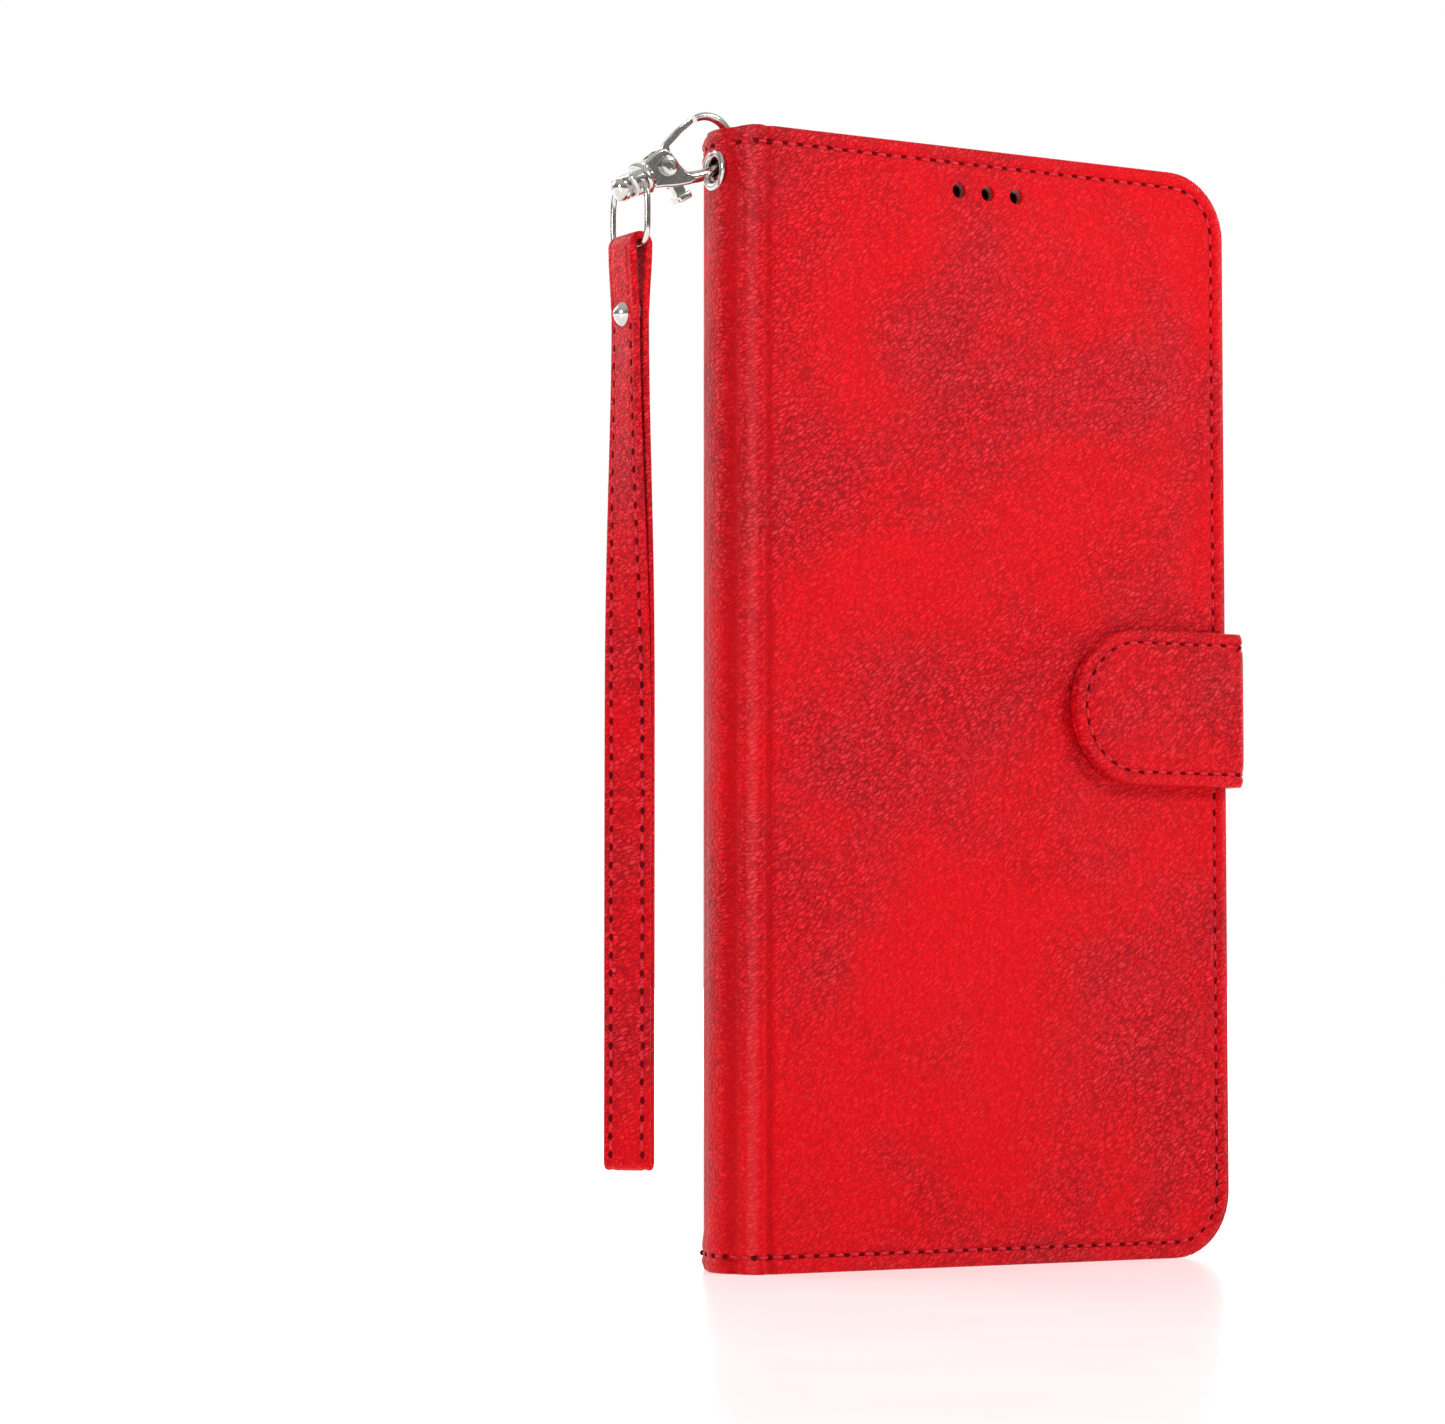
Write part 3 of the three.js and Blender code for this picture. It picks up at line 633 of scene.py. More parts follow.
class Recipe(Nodes):
    """A material's nodes. Its pattern is laid out in millimetres."""

    def __init__(self, name: str, **shader: float | Colour) -> None:
        """Starts a material.

        Args:
            name: The material's name.
            shader: The shader's even values, with _ for a space in their names.
        """
        self.material = bpy.data.materials.new(name)
        self.material.use_nodes = True
        super().__init__(self.material.node_tree)
        self.shader = self.tree.nodes["Principled BSDF"]
        for key, value in shader.items():
            self.shader.inputs[key.replace("_", " ")].default_value = value

    def space(
        self, scale: Point = (1, 1, 1), turn: Point = (0, 0, 0)
    ) -> bpy.types.NodeSocket:
        """Returns the place on the piece in millimetres, stretched and turned."""
        source = self.node("ShaderNodeTexCoord").outputs["Object"]
        mapping = self.node("ShaderNodeMapping", vector_type="TEXTURE")
        self.feed(mapping.inputs["Vector"], source)
        mapping.inputs["Scale"].default_value = [MM / s for s in scale]
        mapping.inputs["Rotation"].default_value = [math.radians(t) for t in turn]
        return mapping.outputs["Vector"]

    def noise(
        self,
        space: bpy.types.NodeSocket,
        size: float,
        detail: float = 2.0,
        roughness: float = 0.5,
        distortion: float = 0.0,
    ) -> bpy.types.NodeSocket:
        """Returns cloudy noise whose blotches are about that size."""
        made = self.node("ShaderNodeTexNoise")
        self.feed(made.inputs["Vector"], space)
        made.inputs["Scale"].default_value = 1 / size
        made.inputs["Detail"].default_value = detail
        made.inputs["Roughness"].default_value = roughness
        made.inputs["Distortion"].default_value = distortion
        return made.outputs["Fac"]

    def gaps(self, space: bpy.types.NodeSocket, size: float) -> bpy.types.NodeSocket:
        """Returns the distance from the gaps between cells of about that size."""
        made = self.node("ShaderNodeTexVoronoi", feature="DISTANCE_TO_EDGE")
        self.feed(made.inputs["Vector"], space)
        made.inputs["Scale"].default_value = 1 / size
        return made.outputs["Distance"]

    def blend(self, share: object, a: object, b: object) -> bpy.types.NodeSocket:
        """Returns a colour mixed from two."""
        made = self.node("ShaderNodeMix", data_type="RGBA")
        self.feed(made.inputs[0], share)
        self.feed(made.inputs[6], a)
        self.feed(made.inputs[7], b)
        return made.outputs[2]

    def bumps(
        self,
        height: bpy.types.NodeSocket,
        distance: float,
        strength: float = 1.0,
        under: bpy.types.NodeSocket | None = None,
    ) -> bpy.types.NodeSocket:
        """Returns a bumpy normal, that height times a distance in millimetres."""
        made = self.node("ShaderNodeBump")
        made.inputs["Strength"].default_value = strength
        made.inputs["Distance"].default_value = distance * MM
        self.feed(made.inputs["Height"], height)
        if under is not None:
            self.feed(made.inputs["Normal"], under)
        return made.outputs["Normal"]

    def done(
        self, colour: object, roughness: object, normal: bpy.types.NodeSocket | None = None
    ) -> bpy.types.Material:
        """Links what varies to the shader and returns the material."""
        self.feed(self.shader.inputs["Base Color"], colour)
        self.feed(self.shader.inputs["Roughness"], roughness)
        if normal is not None:
            self.feed(self.shader.inputs["Normal"], normal)
        return self.material


@dataclass(frozen=True)
class Cowhide:
    """Pebbled leather, hand-rubbed so that darker clouds show through the dye. Painted shade darkens the
    grain's creases and the spine's grooves, and painted highlight lightens the grain's tops and the spine's
    ridges.
    """

    name: str = "red_cowhide"
    dye: Colour = (0.780, 0.0004, 0.0050, 1)
    rubbed: Colour = (0.570, 0.0150, 0.0240, 1)
    # Painted shade in the grain's creases.
    crease_shade: Colour = (0.210, 0.0015, 0.0050, 1)
    # Painted highlight on the grain's tops and on the spine's ridges.
    peak_highlight: Colour = (0.800, 0.0900, 0.1050, 1)
    # Painted shade in the spine's grooves.
    groove_shade: Colour = (0.480, 0.0001, 0.0030, 1)
    cloud: float = 38.0
    cloud_share: float = 0.85
    pebble: float = 0.54
    relief: float = 0.27
    sheen: float = 0.40

    def material(self) -> bpy.types.Material:
        """Returns the finished material."""
        r = Recipe(self.name, Specular_IOR_Level=0.22, Specular_Tint=(1.0, 0.28, 0.32, 1))
        flat = r.space()
        slanted = r.space(scale=(1.0, 0.5, 0.40), turn=(0, 56, 0))
        clouds = r.range(r.noise(flat, self.cloud, 3, 0.55, 0.5), 0.36, 0.66)
        wisps = r.range(r.noise(slanted, self.cloud / 3.4, 4, 0.6, 0.3), 0.30, 0.75, (0.25, 1))
        share = r.sums("MULTIPLY", r.sums("MULTIPLY", clouds, wisps), self.cloud_share)
        warp = r.node("ShaderNodeTexNoise")
        r.feed(warp.inputs["Vector"], flat)
        warp.inputs["Scale"].default_value = 0.42
        offset = r.node("ShaderNodeVectorMath", operation="MULTIPLY_ADD")
        r.feed(offset.inputs[0], warp.outputs["Color"])
        offset.inputs[1].default_value = (0.8, 0.8, 0.8)
        r.feed(offset.inputs[2], slanted)
        pebbles = r.range(r.gaps(offset.outputs["Vector"], self.pebble), 0.0, 0.26)
        folds = r.noise(slanted, self.pebble, 4, 0.62, 0.3)
        height = r.sums("MULTIPLY_ADD", pebbles, 0.30, folds)
        swell = r.bumps(r.noise(flat, 17, 2), 0.55, 0.35)
        tint = r.blend(share, self.dye, self.rubbed)
        # Painted light on the grain: painted shade where it is low and painted highlight where it is high,
        # both stronger in the clouds.
        showing = r.sums("MULTIPLY_ADD", clouds, 0.60, 0.40)
        deep = r.sums("MULTIPLY", r.range(height, 0.45, 0.80, (0.80, 0.0)), showing)
        peak_highlight_share = r.sums("MULTIPLY", r.range(height, 0.74, 1.02, (0.0, 0.52)), showing)
        tint = r.blend(deep, tint, self.crease_shade)
        tint = r.blend(peak_highlight_share, tint, self.peak_highlight)
        # Painted light on the spine: painted highlight on its ridges and painted shade in its grooves, by how
        # far each place stands out.
        crest = r.node("ShaderNodeAttribute", attribute_name=CREST).outputs["Fac"]
        grain = r.range(height, 0.50, 0.95, (0.45, 1.0))
        ridge_highlight = r.sums("MULTIPLY", r.range(crest, 0.05, 0.80, (0.0, 0.42)), grain)
        tint = r.blend(ridge_highlight, tint, self.peak_highlight)
        tint = r.blend(r.range(crest, -0.95, -0.10, (0.62, 0.0)), tint, self.groove_shade)
        return r.done(
            tint,
            r.range(r.noise(flat, 9, 3), 0.3, 0.7, (self.sheen, self.sheen + 0.12)),
            r.bumps(height, self.relief, 0.85, swell),
        )


@dataclass(frozen=True)
class Suede:
    """Soft brushed lining with a fine nap."""

    name: str = "brushed_lining"
    colour: Colour = (0.300, 0.012, 0.020, 1)
    worn: Colour = (0.400, 0.030, 0.040, 1)
    nap: float = 0.30

    def material(self) -> bpy.types.Material:
        """Returns the finished material."""
        r = Recipe(self.name, Specular_IOR_Level=0.2, Sheen_Weight=0.35, Sheen_Roughness=0.5)
        flat = r.space()
        brushed = r.space(scale=(1, 1, 0.3), turn=(0, 12, 0))
        nap = r.noise(brushed, self.nap, 3, 0.65)
        tint = r.blend(r.range(r.noise(flat, 12, 4, 0.6), 0.35, 0.7), self.colour, self.worn)
        return r.done(tint, r.range(nap, 0.2, 0.8, (0.78, 0.95)), r.bumps(nap, 0.07, 0.7))


@dataclass(frozen=True)
class Thread:
    """Waxed thread, twisted from two plies."""

    name: str = "waxed_thread"
    colour: Colour = (0.820, 0.045, 0.062, 1)
    shade: Colour = (0.460, 0.005, 0.014, 1)

    def material(self) -> bpy.types.Material:
        """Returns the finished material."""
        r = Recipe(self.name, Specular_IOR_Level=0.3, Specular_Tint=(1.0, 0.3, 0.34, 1))
        plies = r.noise(r.space(turn=(25, 35, 15), scale=(1, 1, 2.2)), 0.22, 1)
        tint = r.blend(r.range(plies, 0.4, 0.62), self.shade, self.colour)
        return r.done(tint, r.range(plies, 0.3, 0.7, (0.62, 0.45)), r.bumps(plies, 0.05))


@dataclass(frozen=True)
class Plain:
    """A plain even finish with fine grain: needle holes, moulded rubber, board."""

    name: str
    colour: Colour
    other: Colour
    roughness: tuple[float, float]
    grain: float
    relief: float
    specular: float = 0.4

    def material(self) -> bpy.types.Material:
        """Returns the finished material."""
        r = Recipe(self.name, Specular_IOR_Level=self.specular)
        flat = r.space()
        grain = r.noise(flat, self.grain, 3, 0.6)
        patches = r.range(r.noise(flat, self.grain * 22, 3), 0.35, 0.68)
        tint = r.blend(patches, self.colour, self.other)
        return r.done(tint, r.range(grain, 0.3, 0.7, self.roughness), r.bumps(grain, self.relief))


@dataclass(frozen=True)
class Metal:
    """Plated or bare metal with fine rubbing marks."""

    name: str
    colour: Colour
    roughness: tuple[float, float]
    brushed: Point = (1, 1, 1)
    relief: float = 0.004

    def material(self) -> bpy.types.Material:
        """Returns the finished material."""
        r = Recipe(self.name, Metallic=1.0)
        marks = r.noise(r.space(scale=self.brushed, turn=(20, 10, 35)), 0.35, 4, 0.65)
        stains = r.noise(r.space(), 3.2, 3)
        dull = tuple(0.84 * c for c in self.colour[:3]) + (1.0,)
        tint = r.blend(r.range(stains, 0.45, 0.75), self.colour, dull)
        rough = r.range(marks, 0.3, 0.75, self.roughness)
        return r.done(tint, rough, r.bumps(marks, self.relief))


class Finishes:
    """All the finishes of the wallet, each made once."""

    def __init__(self) -> None:
        """Makes every finish."""
        self.leather = Cowhide().material()
        self.case_leather = Cowhide(
            name="case_cowhide", cloud=24.0, cloud_share=0.85, pebble=0.8, relief=0.07, sheen=0.27
        ).material()
        # Lighter leather for rims and sides: painted highlight on the rounded edges.
        self.edge_highlight = Cowhide(
            name="edge_highlight",
            dye=(0.800, 0.0130, 0.0220, 1),
            cloud_share=0.3,
            pebble=0.45,
            relief=0.08,
            sheen=0.26,
        ).material()
        self.lining = Suede().material()
        self.thread = Thread().material()
        # Dark needle holes: the dark colour is painted shade in the holes.
        self.hole = Plain(
            "needle_hole_shade", (0.150, 0.001, 0.004, 1), (0.090, 0.001, 0.003, 1), (0.7, 0.9), 0.3, 0.02, 0.05
        ).material()
        self.rubber = Plain(
            "matt_rubber", (0.011, 0.011, 0.012, 1), (0.017, 0.017, 0.018, 1), (0.50, 0.64), 0.18, 0.018, 0.14
        ).material()
        self.board = Plain(
            "grey_board", (0.26, 0.24, 0.21, 1), (0.20, 0.185, 0.16, 1), (0.85, 0.95), 0.5, 0.06, 0.2
        ).material()
        self.nickel = Metal("bright_nickel", (0.62, 0.60, 0.565, 1), (0.12, 0.24)).material()
        self.steel = Metal("steel_sheet", (0.56, 0.57, 0.58, 1), (0.3, 0.5), (1, 1, 0.1)).material()
        self.magnet = Metal("plated_magnet", (0.62, 0.62, 0.63, 1), (0.2, 0.34)).material()


def dress(piece: bpy.types.Object, *materials: bpy.types.Material) -> None:
    """Gives a piece its materials in order. Faces keep their places in the list."""
    piece.data.materials.clear()
    for material in materials:
        piece.data.materials.append(material)


# ---- Folded goods and stitching ----


class FoldLine:
    """The section that a flat cut is folded along, with its outward normals."""

    STEP = 0.05

    def __init__(self, points: Sequence[tuple[float, float]], soften: float) -> None:
        """Measures the section.

        Args:
            points: The section's points, with the outside on the right of the way along it.
            soften: The length over which the normals turn at a corner.
        """
        line = np.array(points, float)
        along = np.concatenate([[0], np.cumsum(np.linalg.norm(np.diff(line, axis=0), axis=1))])
        self.length = float(along[-1])
        self.u = np.linspace(0, self.length, int(self.length / self.STEP) + 1)
        self.at = np.stack([np.interp(self.u, along, line[:, i]) for i in (0, 1)], axis=1)
        tangent = np.gradient(self.at, axis=0)
        outward = np.stack([tangent[:, 1], -tangent[:, 0]], axis=1)
        outward /= np.linalg.norm(outward, axis=1)[:, None]
        width = max(1, int(soften / self.STEP))
        kernel = np.ones(width) / width
        padded = np.pad(outward, ((width, width), (0, 0)), mode="edge")
        smooth = np.stack([np.convolve(padded[:, i], kernel, "same") for i in (0, 1)], axis=1)
        smooth = smooth[width:-width]
        self.outward = smooth / np.linalg.norm(smooth, axis=1)[:, None]

    def places(self, u: np.ndarray, out: np.ndarray) -> np.ndarray:
        """Returns the section points at these lengths, moved outwards by these amounts."""
        found = [
            np.interp(u, self.u, self.at[:, i]) + out * np.interp(u, self.u, self.outward[:, i])
            for i in (0, 1)
        ]
        return np.stack(found, axis=1)


def arc(
    centre: tuple[float, float], radius: float, start: float, end: float, count: int = 24
) -> list[tuple[float, float]]:
    """Returns points on an arc, with its angles in degrees."""
    angles = [math.radians(start + (end - start) * i / count) for i in range(count + 1)]
    return [(centre[0] + radius * math.cos(a), centre[1] + radius * math.sin(a)) for a in angles]


def round_loop(
    left: float, right: float, bottom: float, top: float, radius: float
) -> list[tuple[float, float]]:
    """Returns the points of a closed line round a box with round corners."""
    loop = arc((right - radius, bottom + radius), radius, -90, 0)
    loop += arc((right - radius, top - radius), radius, 0, 90)
    loop += arc((left + radius, top - radius), radius, 90, 180)
    loop += arc((left + radius, bottom + radius), radius, 180, 270)
    return [*loop, loop[0]]


@dataclass
class Sewing:
    """Saddle stitches: short waxed threads that dip into needle holes."""

    pitch: float = 2.6
    length: float = 1.85
    width: float = 0.56
    height: float = 0.44
    dip: float = 0.22
    hole: float = 0.45
    wobble: float = 3.0
    dice: random.Random = field(default_factory=lambda: random.Random(SEED))

    def __post_init__(self) -> None:
        """Models the one stitch and the one needle hole that are copied."""
        Bench.clear()
        bpy.ops.mesh.primitive_uv_sphere_add(segments=8, ring_count=6, radius=0.5 * MM)
        self.stitch = Bench.fresh("stitch")
        self.stitch.rotation_euler = (0, math.pi / 2, 0)
        Bench.settle(self.stitch)
        self.stitch.scale = (self.length, self.width, self.height)
        Bench.settle(self.stitch)

        def sag(points: np.ndarray) -> np.ndarray:
            """Bends the ends of the stitch down into the leather."""
            share = np.abs(points[:, X]) / (self.length / 2)
            return points - np.outer(self.dip * share**2, (0, 0, 1))

        Bench.move(self.stitch, sag)
        Bench.clear()
        # The needle hole is a flat dark blob, painted shade where the thread goes in.
        bpy.ops.mesh.primitive_uv_sphere_add(segments=8, ring_count=4, radius=self.hole * MM)
        self.eye = Bench.fresh("needle_hole")
        self.eye.scale = (1.35, 1.0, 0.36)
        Bench.settle(self.eye)
        for source in (self.stitch, self.eye):
            Bench.smooth(source, 80)

    def frames(self, place: Place, line: Sequence[tuple[float, float]], depth: float) -> list[Matrix]:
        """Returns where the stitches of a seam go.

        Args:
            place: Takes flat points to their places on the folded piece.
            line: The seam's points (u, z) on the flat cut.
            depth: How deep the seam's channel is.

        Returns:
            One frame for each stitch, in metres, with X along it and Z out of the leather.
        """
        points = np.array(line, float)
        lengths = np.concatenate([[0], np.cumsum(np.linalg.norm(np.diff(points, axis=0), axis=1))])
        count = max(1, round(lengths[-1] / self.pitch))
        at = (np.arange(count) + 0.5) * lengths[-1] / count
        reach = 0.35 * self.pitch

        def flat(along: np.ndarray, down: float) -> np.ndarray:
            """Returns flat points at these lengths and that depth."""
            u, z = (np.interp(along, lengths, points[:, i]) for i in (0, 1))
            return np.stack([u, np.full_like(u, down), z], axis=1)

        middle = place(flat(at, depth))
        ahead = place(flat(at + reach, depth)) - place(flat(at - reach, depth))
        up = place(flat(at, depth - 0.2)) - middle
        found = []
        for centre, forward, outward in zip(middle, ahead, up):
            x = Vector(forward).normalized()
            z = (Vector(outward) - x * Vector(outward).dot(x)).normalized()
            y = z.cross(x)
            turn = Matrix((x, y, z)).transposed().to_4x4()
            found.append(Matrix.Translation(Vector(centre) * MM) @ turn)
        return found

    def sew(
        self, name: str, frames: Sequence[Matrix], finishes: Finishes, lift: float = 0.14
    ) -> bpy.types.Object:
        """Copies a stitch and a needle hole to each frame and returns them as one piece."""
        pieces = []
        for frame in frames:
            turn = Matrix.Rotation(math.radians(self.dice.gauss(0, self.wobble)), 4, "Z")
            for source, shift, material in (
                (self.stitch, Vector((0, 0, lift)), finishes.thread),
                (self.eye, Vector((self.pitch / 2, 0, 0)), finishes.hole),
            ):
                copy = Bench.copy(source, name)
                dress(copy, material)
                copy.matrix_world = frame @ turn @ Matrix.Translation(shift * MM)
                pieces.append(copy)
        return Bench.join(name, pieces)

    def put_away(self) -> None:
        """Throws away the stitch and the hole that were copied."""
        for source in (self.stitch, self.eye):
            bpy.data.objects.remove(source)


@dataclass
class Folio:
    """The outer skin: one sheet with turned edges that is back cover, spine and front cover."""

    finishes: Finishes
    sewing: Sewing
    corner: float = 10.0
    thickness: float = 2.0
    front_share: float = 0.925
    spine_share: float = 0.70
    rim: float = 0.55
    seam_inset: float = 2.5
    seam_depth: float = 0.26
    window_corner: float = 9.5
    window_x: tuple[float, float] = (-0.85, 35.55)
    window_z: tuple[float, float] = (124.0, 162.2)
    eyelet_hole: float = 2.1
    speaker_radius: float = 1.15
    speaker_pitch: float = 5.2
    speaker_drop: float = 6.6
    speaker_x: float = -1.15
    crest_height: float = 0.5
    hem: tuple[tuple[float, float], ...] = (
        (0.40, 0.20),
        (0.50, 0.08),
        (0.45, -0.12),
        (0.35, -0.38),
        (0.30, -0.06),
        (0.35, 0.38),
        (0.50, 0.12),
        (0.90, -0.04),
        (1.25, -0.18),
        (1.15, 0.0),
    )
    inner_hem: tuple[tuple[float, float], ...] = ((1.6, 0.0), (0.25, -0.12), (1.0, 0.0))

    def __post_init__(self) -> None:
        """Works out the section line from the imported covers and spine."""
        back, front = Extent.of("back_cover_leather"), Extent.of("front_cover_leather")
        spine = Extent.of("spine_leather")
        self.height = back.high.z
        self.fore = back.high.x
        self.edge = spine.high.x
        self.back_face, self.front_face = back.high.y, front.low.y
        half = (self.back_face - self.front_face) / 2
        bulge = self.edge - spine.low.x
        radius = (half**2 + bulge**2) / (2 * bulge)
        centre = (spine.low.x + radius, (self.back_face + self.front_face) / 2)
        spread = math.degrees(math.asin(half / radius))
        section = [(self.fore, self.back_face)]
        section += arc(centre, radius, 180 - spread, 180 + spread, 160)
        section += [(self.fore, self.front_face)]
        self.line = FoldLine(section, 1.7)
        self.flat_cover = self.fore - self.edge
        self.middle = self.line.length / 2

    def on_back(self, x: float) -> float:
        """Returns where a place on the back cover is on the flat sheet."""
        return self.fore - x

    def on_front(self, x: float) -> float:
        """Returns where a place on the front cover is on the flat sheet."""
        return self.line.length - self.fore + x

    def relief(self, u: np.ndarray) -> np.ndarray:
        """Returns how far the spine's pressed creases and ridges stand out."""
        spine_side = self.middle - self.flat_cover - np.abs(u - self.middle)
        ridges = ((-1.35, -0.50, 0.62), (1.4, 0.38, 0.95), (4.8, -0.60, 1.15))
        return sum(rise * np.exp(-(((spine_side - at) / wide) ** 2)) for at, rise, wide in ridges)

    def place(self, flat: np.ndarray) -> np.ndarray:
        """Returns the folded places of flat points (u, depth, z)."""
        u, depth = flat[:, 0], flat[:, 1]
        first, last = self.flat_cover, self.line.length - self.flat_cover
        share = np.interp(
            u,
            [first - 0.8, first + 0.6, last - 0.6, last + 0.8],
            [1.0, self.spine_share, self.spine_share, self.front_share],
        )
        out = self.relief(u) - np.where(depth > 0, depth * share, depth)
        section = self.line.places(u, out)
        return np.stack([section[:, 0], section[:, 1], flat[:, 2]], axis=1)

    def cuts(self) -> list[float]:
        """Returns where the sheet needs edge loops so that it can fold."""
        steps = (-2.4, -1.6, -1.1, -0.8, -0.5, -0.25, 0.0, 0.25, 0.5, 0.8, 1.1, 1.5, 1.9, 2.3, 2.7)
        steps += (3.1, 3.6, 4.1, 4.7, 5.3, 5.9, 6.5, 7.1, 7.8, 8.4, 8.7)
        rear = [self.flat_cover + step for step in steps]
        return rear + [self.line.length - place for place in rear]

    def sheet(self) -> bpy.types.Object:
        """Returns the flat sheet with its hems, seam channel, window and holes."""
        length, height = self.line.length, self.height
        box = Extent(Vector((0, 0, 0)), Vector((length, self.thickness, height)))
        sheet = Bench.slab("skin", box, self.corner, self.rim, Y, (10, 4))
        Bench.rings(sheet, FRONT, self.hem)
        Bench.rings(sheet, REAR, self.inner_hem)
        lining_edge = self.rim + self.inner_hem[0][0]
        # Inner faces take the lining; rims and sides take the painted edge highlight.
        for face in sheet.data.polygons:
            middle = face.center / MM
            inside = edge_distance(
                middle.x, middle.z, (0, length, 0, height), self.corner
            ) < -lining_edge
            if inside and face.normal.y > 0.5:
                face.material_index = 1
            elif abs(face.normal.y) < 0.75 and not inside:
                face.material_index = 2
        hole = Extent.of("strap_eyelet")
        through = self.thickness + 2
        window = self.window()
        cutter = Extent(
            Vector((window[0], -1.2, window[2])), Vector((window[1], through, window[3]))
        )
        tools = [
            Bench.slab("tool", cutter, self.window_corner, 0, Y, (10, 1)),
            Bench.rod("tool", (self.middle, 1, hole.middle.z), self.eyelet_hole, 6, Y),
        ]
        speakers, r = self.speakers(), self.speaker_radius
        tools += [Bench.rod("tool", (u, 1, z), r, 6, Y, 20) for u, z in speakers]
        Bench.carve(sheet, *tools)
        for depth in (0.0, self.thickness):
            soften_hole(sheet, window, self.window_corner, 0.5, depth)
        for u, z in speakers:
            soften_hole(sheet, (u - r, u + r, z - r, z + r), r, 0.22)
        Bench.slices(sheet, X, self.cuts())
        return sheet

    def window(self) -> Rect:
        """Returns the camera window's box on the flat sheet."""
        left, right = self.window_x
        return (self.on_back(right), self.on_back(left), *self.window_z)

    def speakers(self) -> list[tuple[float, float]]:
        """Returns the middles of the speaker holes on the flat sheet."""
        z = self.height - self.speaker_drop
        return [(self.on_front(self.speaker_x + self.speaker_pitch * i), z) for i in (-1, 0, 1)]

    def mark_crests(self, skin: bpy.types.Object) -> None:
        """Notes on the flat sheet how far the spine's ridges and creases stand out, for the painted highlight
        on the ridges and the painted shade in the creases.
        """
        flat = np.zeros(len(skin.data.vertices) * 3)
        skin.data.vertices.foreach_get("co", flat)
        crest = skin.data.attributes.new(CREST, "FLOAT", "POINT")
        crest.data.foreach_set("value", self.relief(flat[0::3] / MM) / self.crest_height)

    def build(self) -> None:
        """Folds the sheet, parts it along the middle of the spine, and sews it."""
        sheet = self.sheet()
        seam = round_loop(
            self.seam_inset,
            self.line.length - self.seam_inset,
            self.seam_inset,
            self.height - self.seam_inset,
            self.corner - self.seam_inset,
        )
        frames = self.sewing.frames(self.place, seam, self.seam_depth)
        mid_y = (self.back_face + self.front_face) / 2
        hinge = self.edge + 0.2
        near, far = hinge + 0.55, hinge - 0.75
        for name, rear in (("back", True), ("front", False)):
            skin = Bench.copy(sheet, f"{name}_skin")
            Bench.keep_half(skin, X, self.middle, upper=not rear)
            self.mark_crests(skin)
            Bench.move(skin, self.place)
            Bench.tidy(skin, 0.001, outward=False)
            dress(skin, self.finishes.leather, self.finishes.lining, self.finishes.edge_highlight)
            Bench.smooth(skin, 50)
            mine = [f for f in frames if (f.translation.y / MM > mid_y) == rear]
            stitches = self.sewing.sew(f"{name}_stitching", mine, self.finishes)
            face = self.back_face if rear else self.front_face
            start, end = Vector((near, face, 0)) * MM, Vector((far, face, 0)) * MM
            if rear:
                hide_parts("back_cover_leather", "back_cover_lining", "spine_leather")
            else:
                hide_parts("front_cover_leather", "front_cover_lining", "spine_lining")
                start, end = end, start
            for piece in (skin, stitches):
                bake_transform(piece)
            LOG.info("built %s and its stitching, %d stitches", skin.name, len(mine))
        bpy.data.objects.remove(sheet)


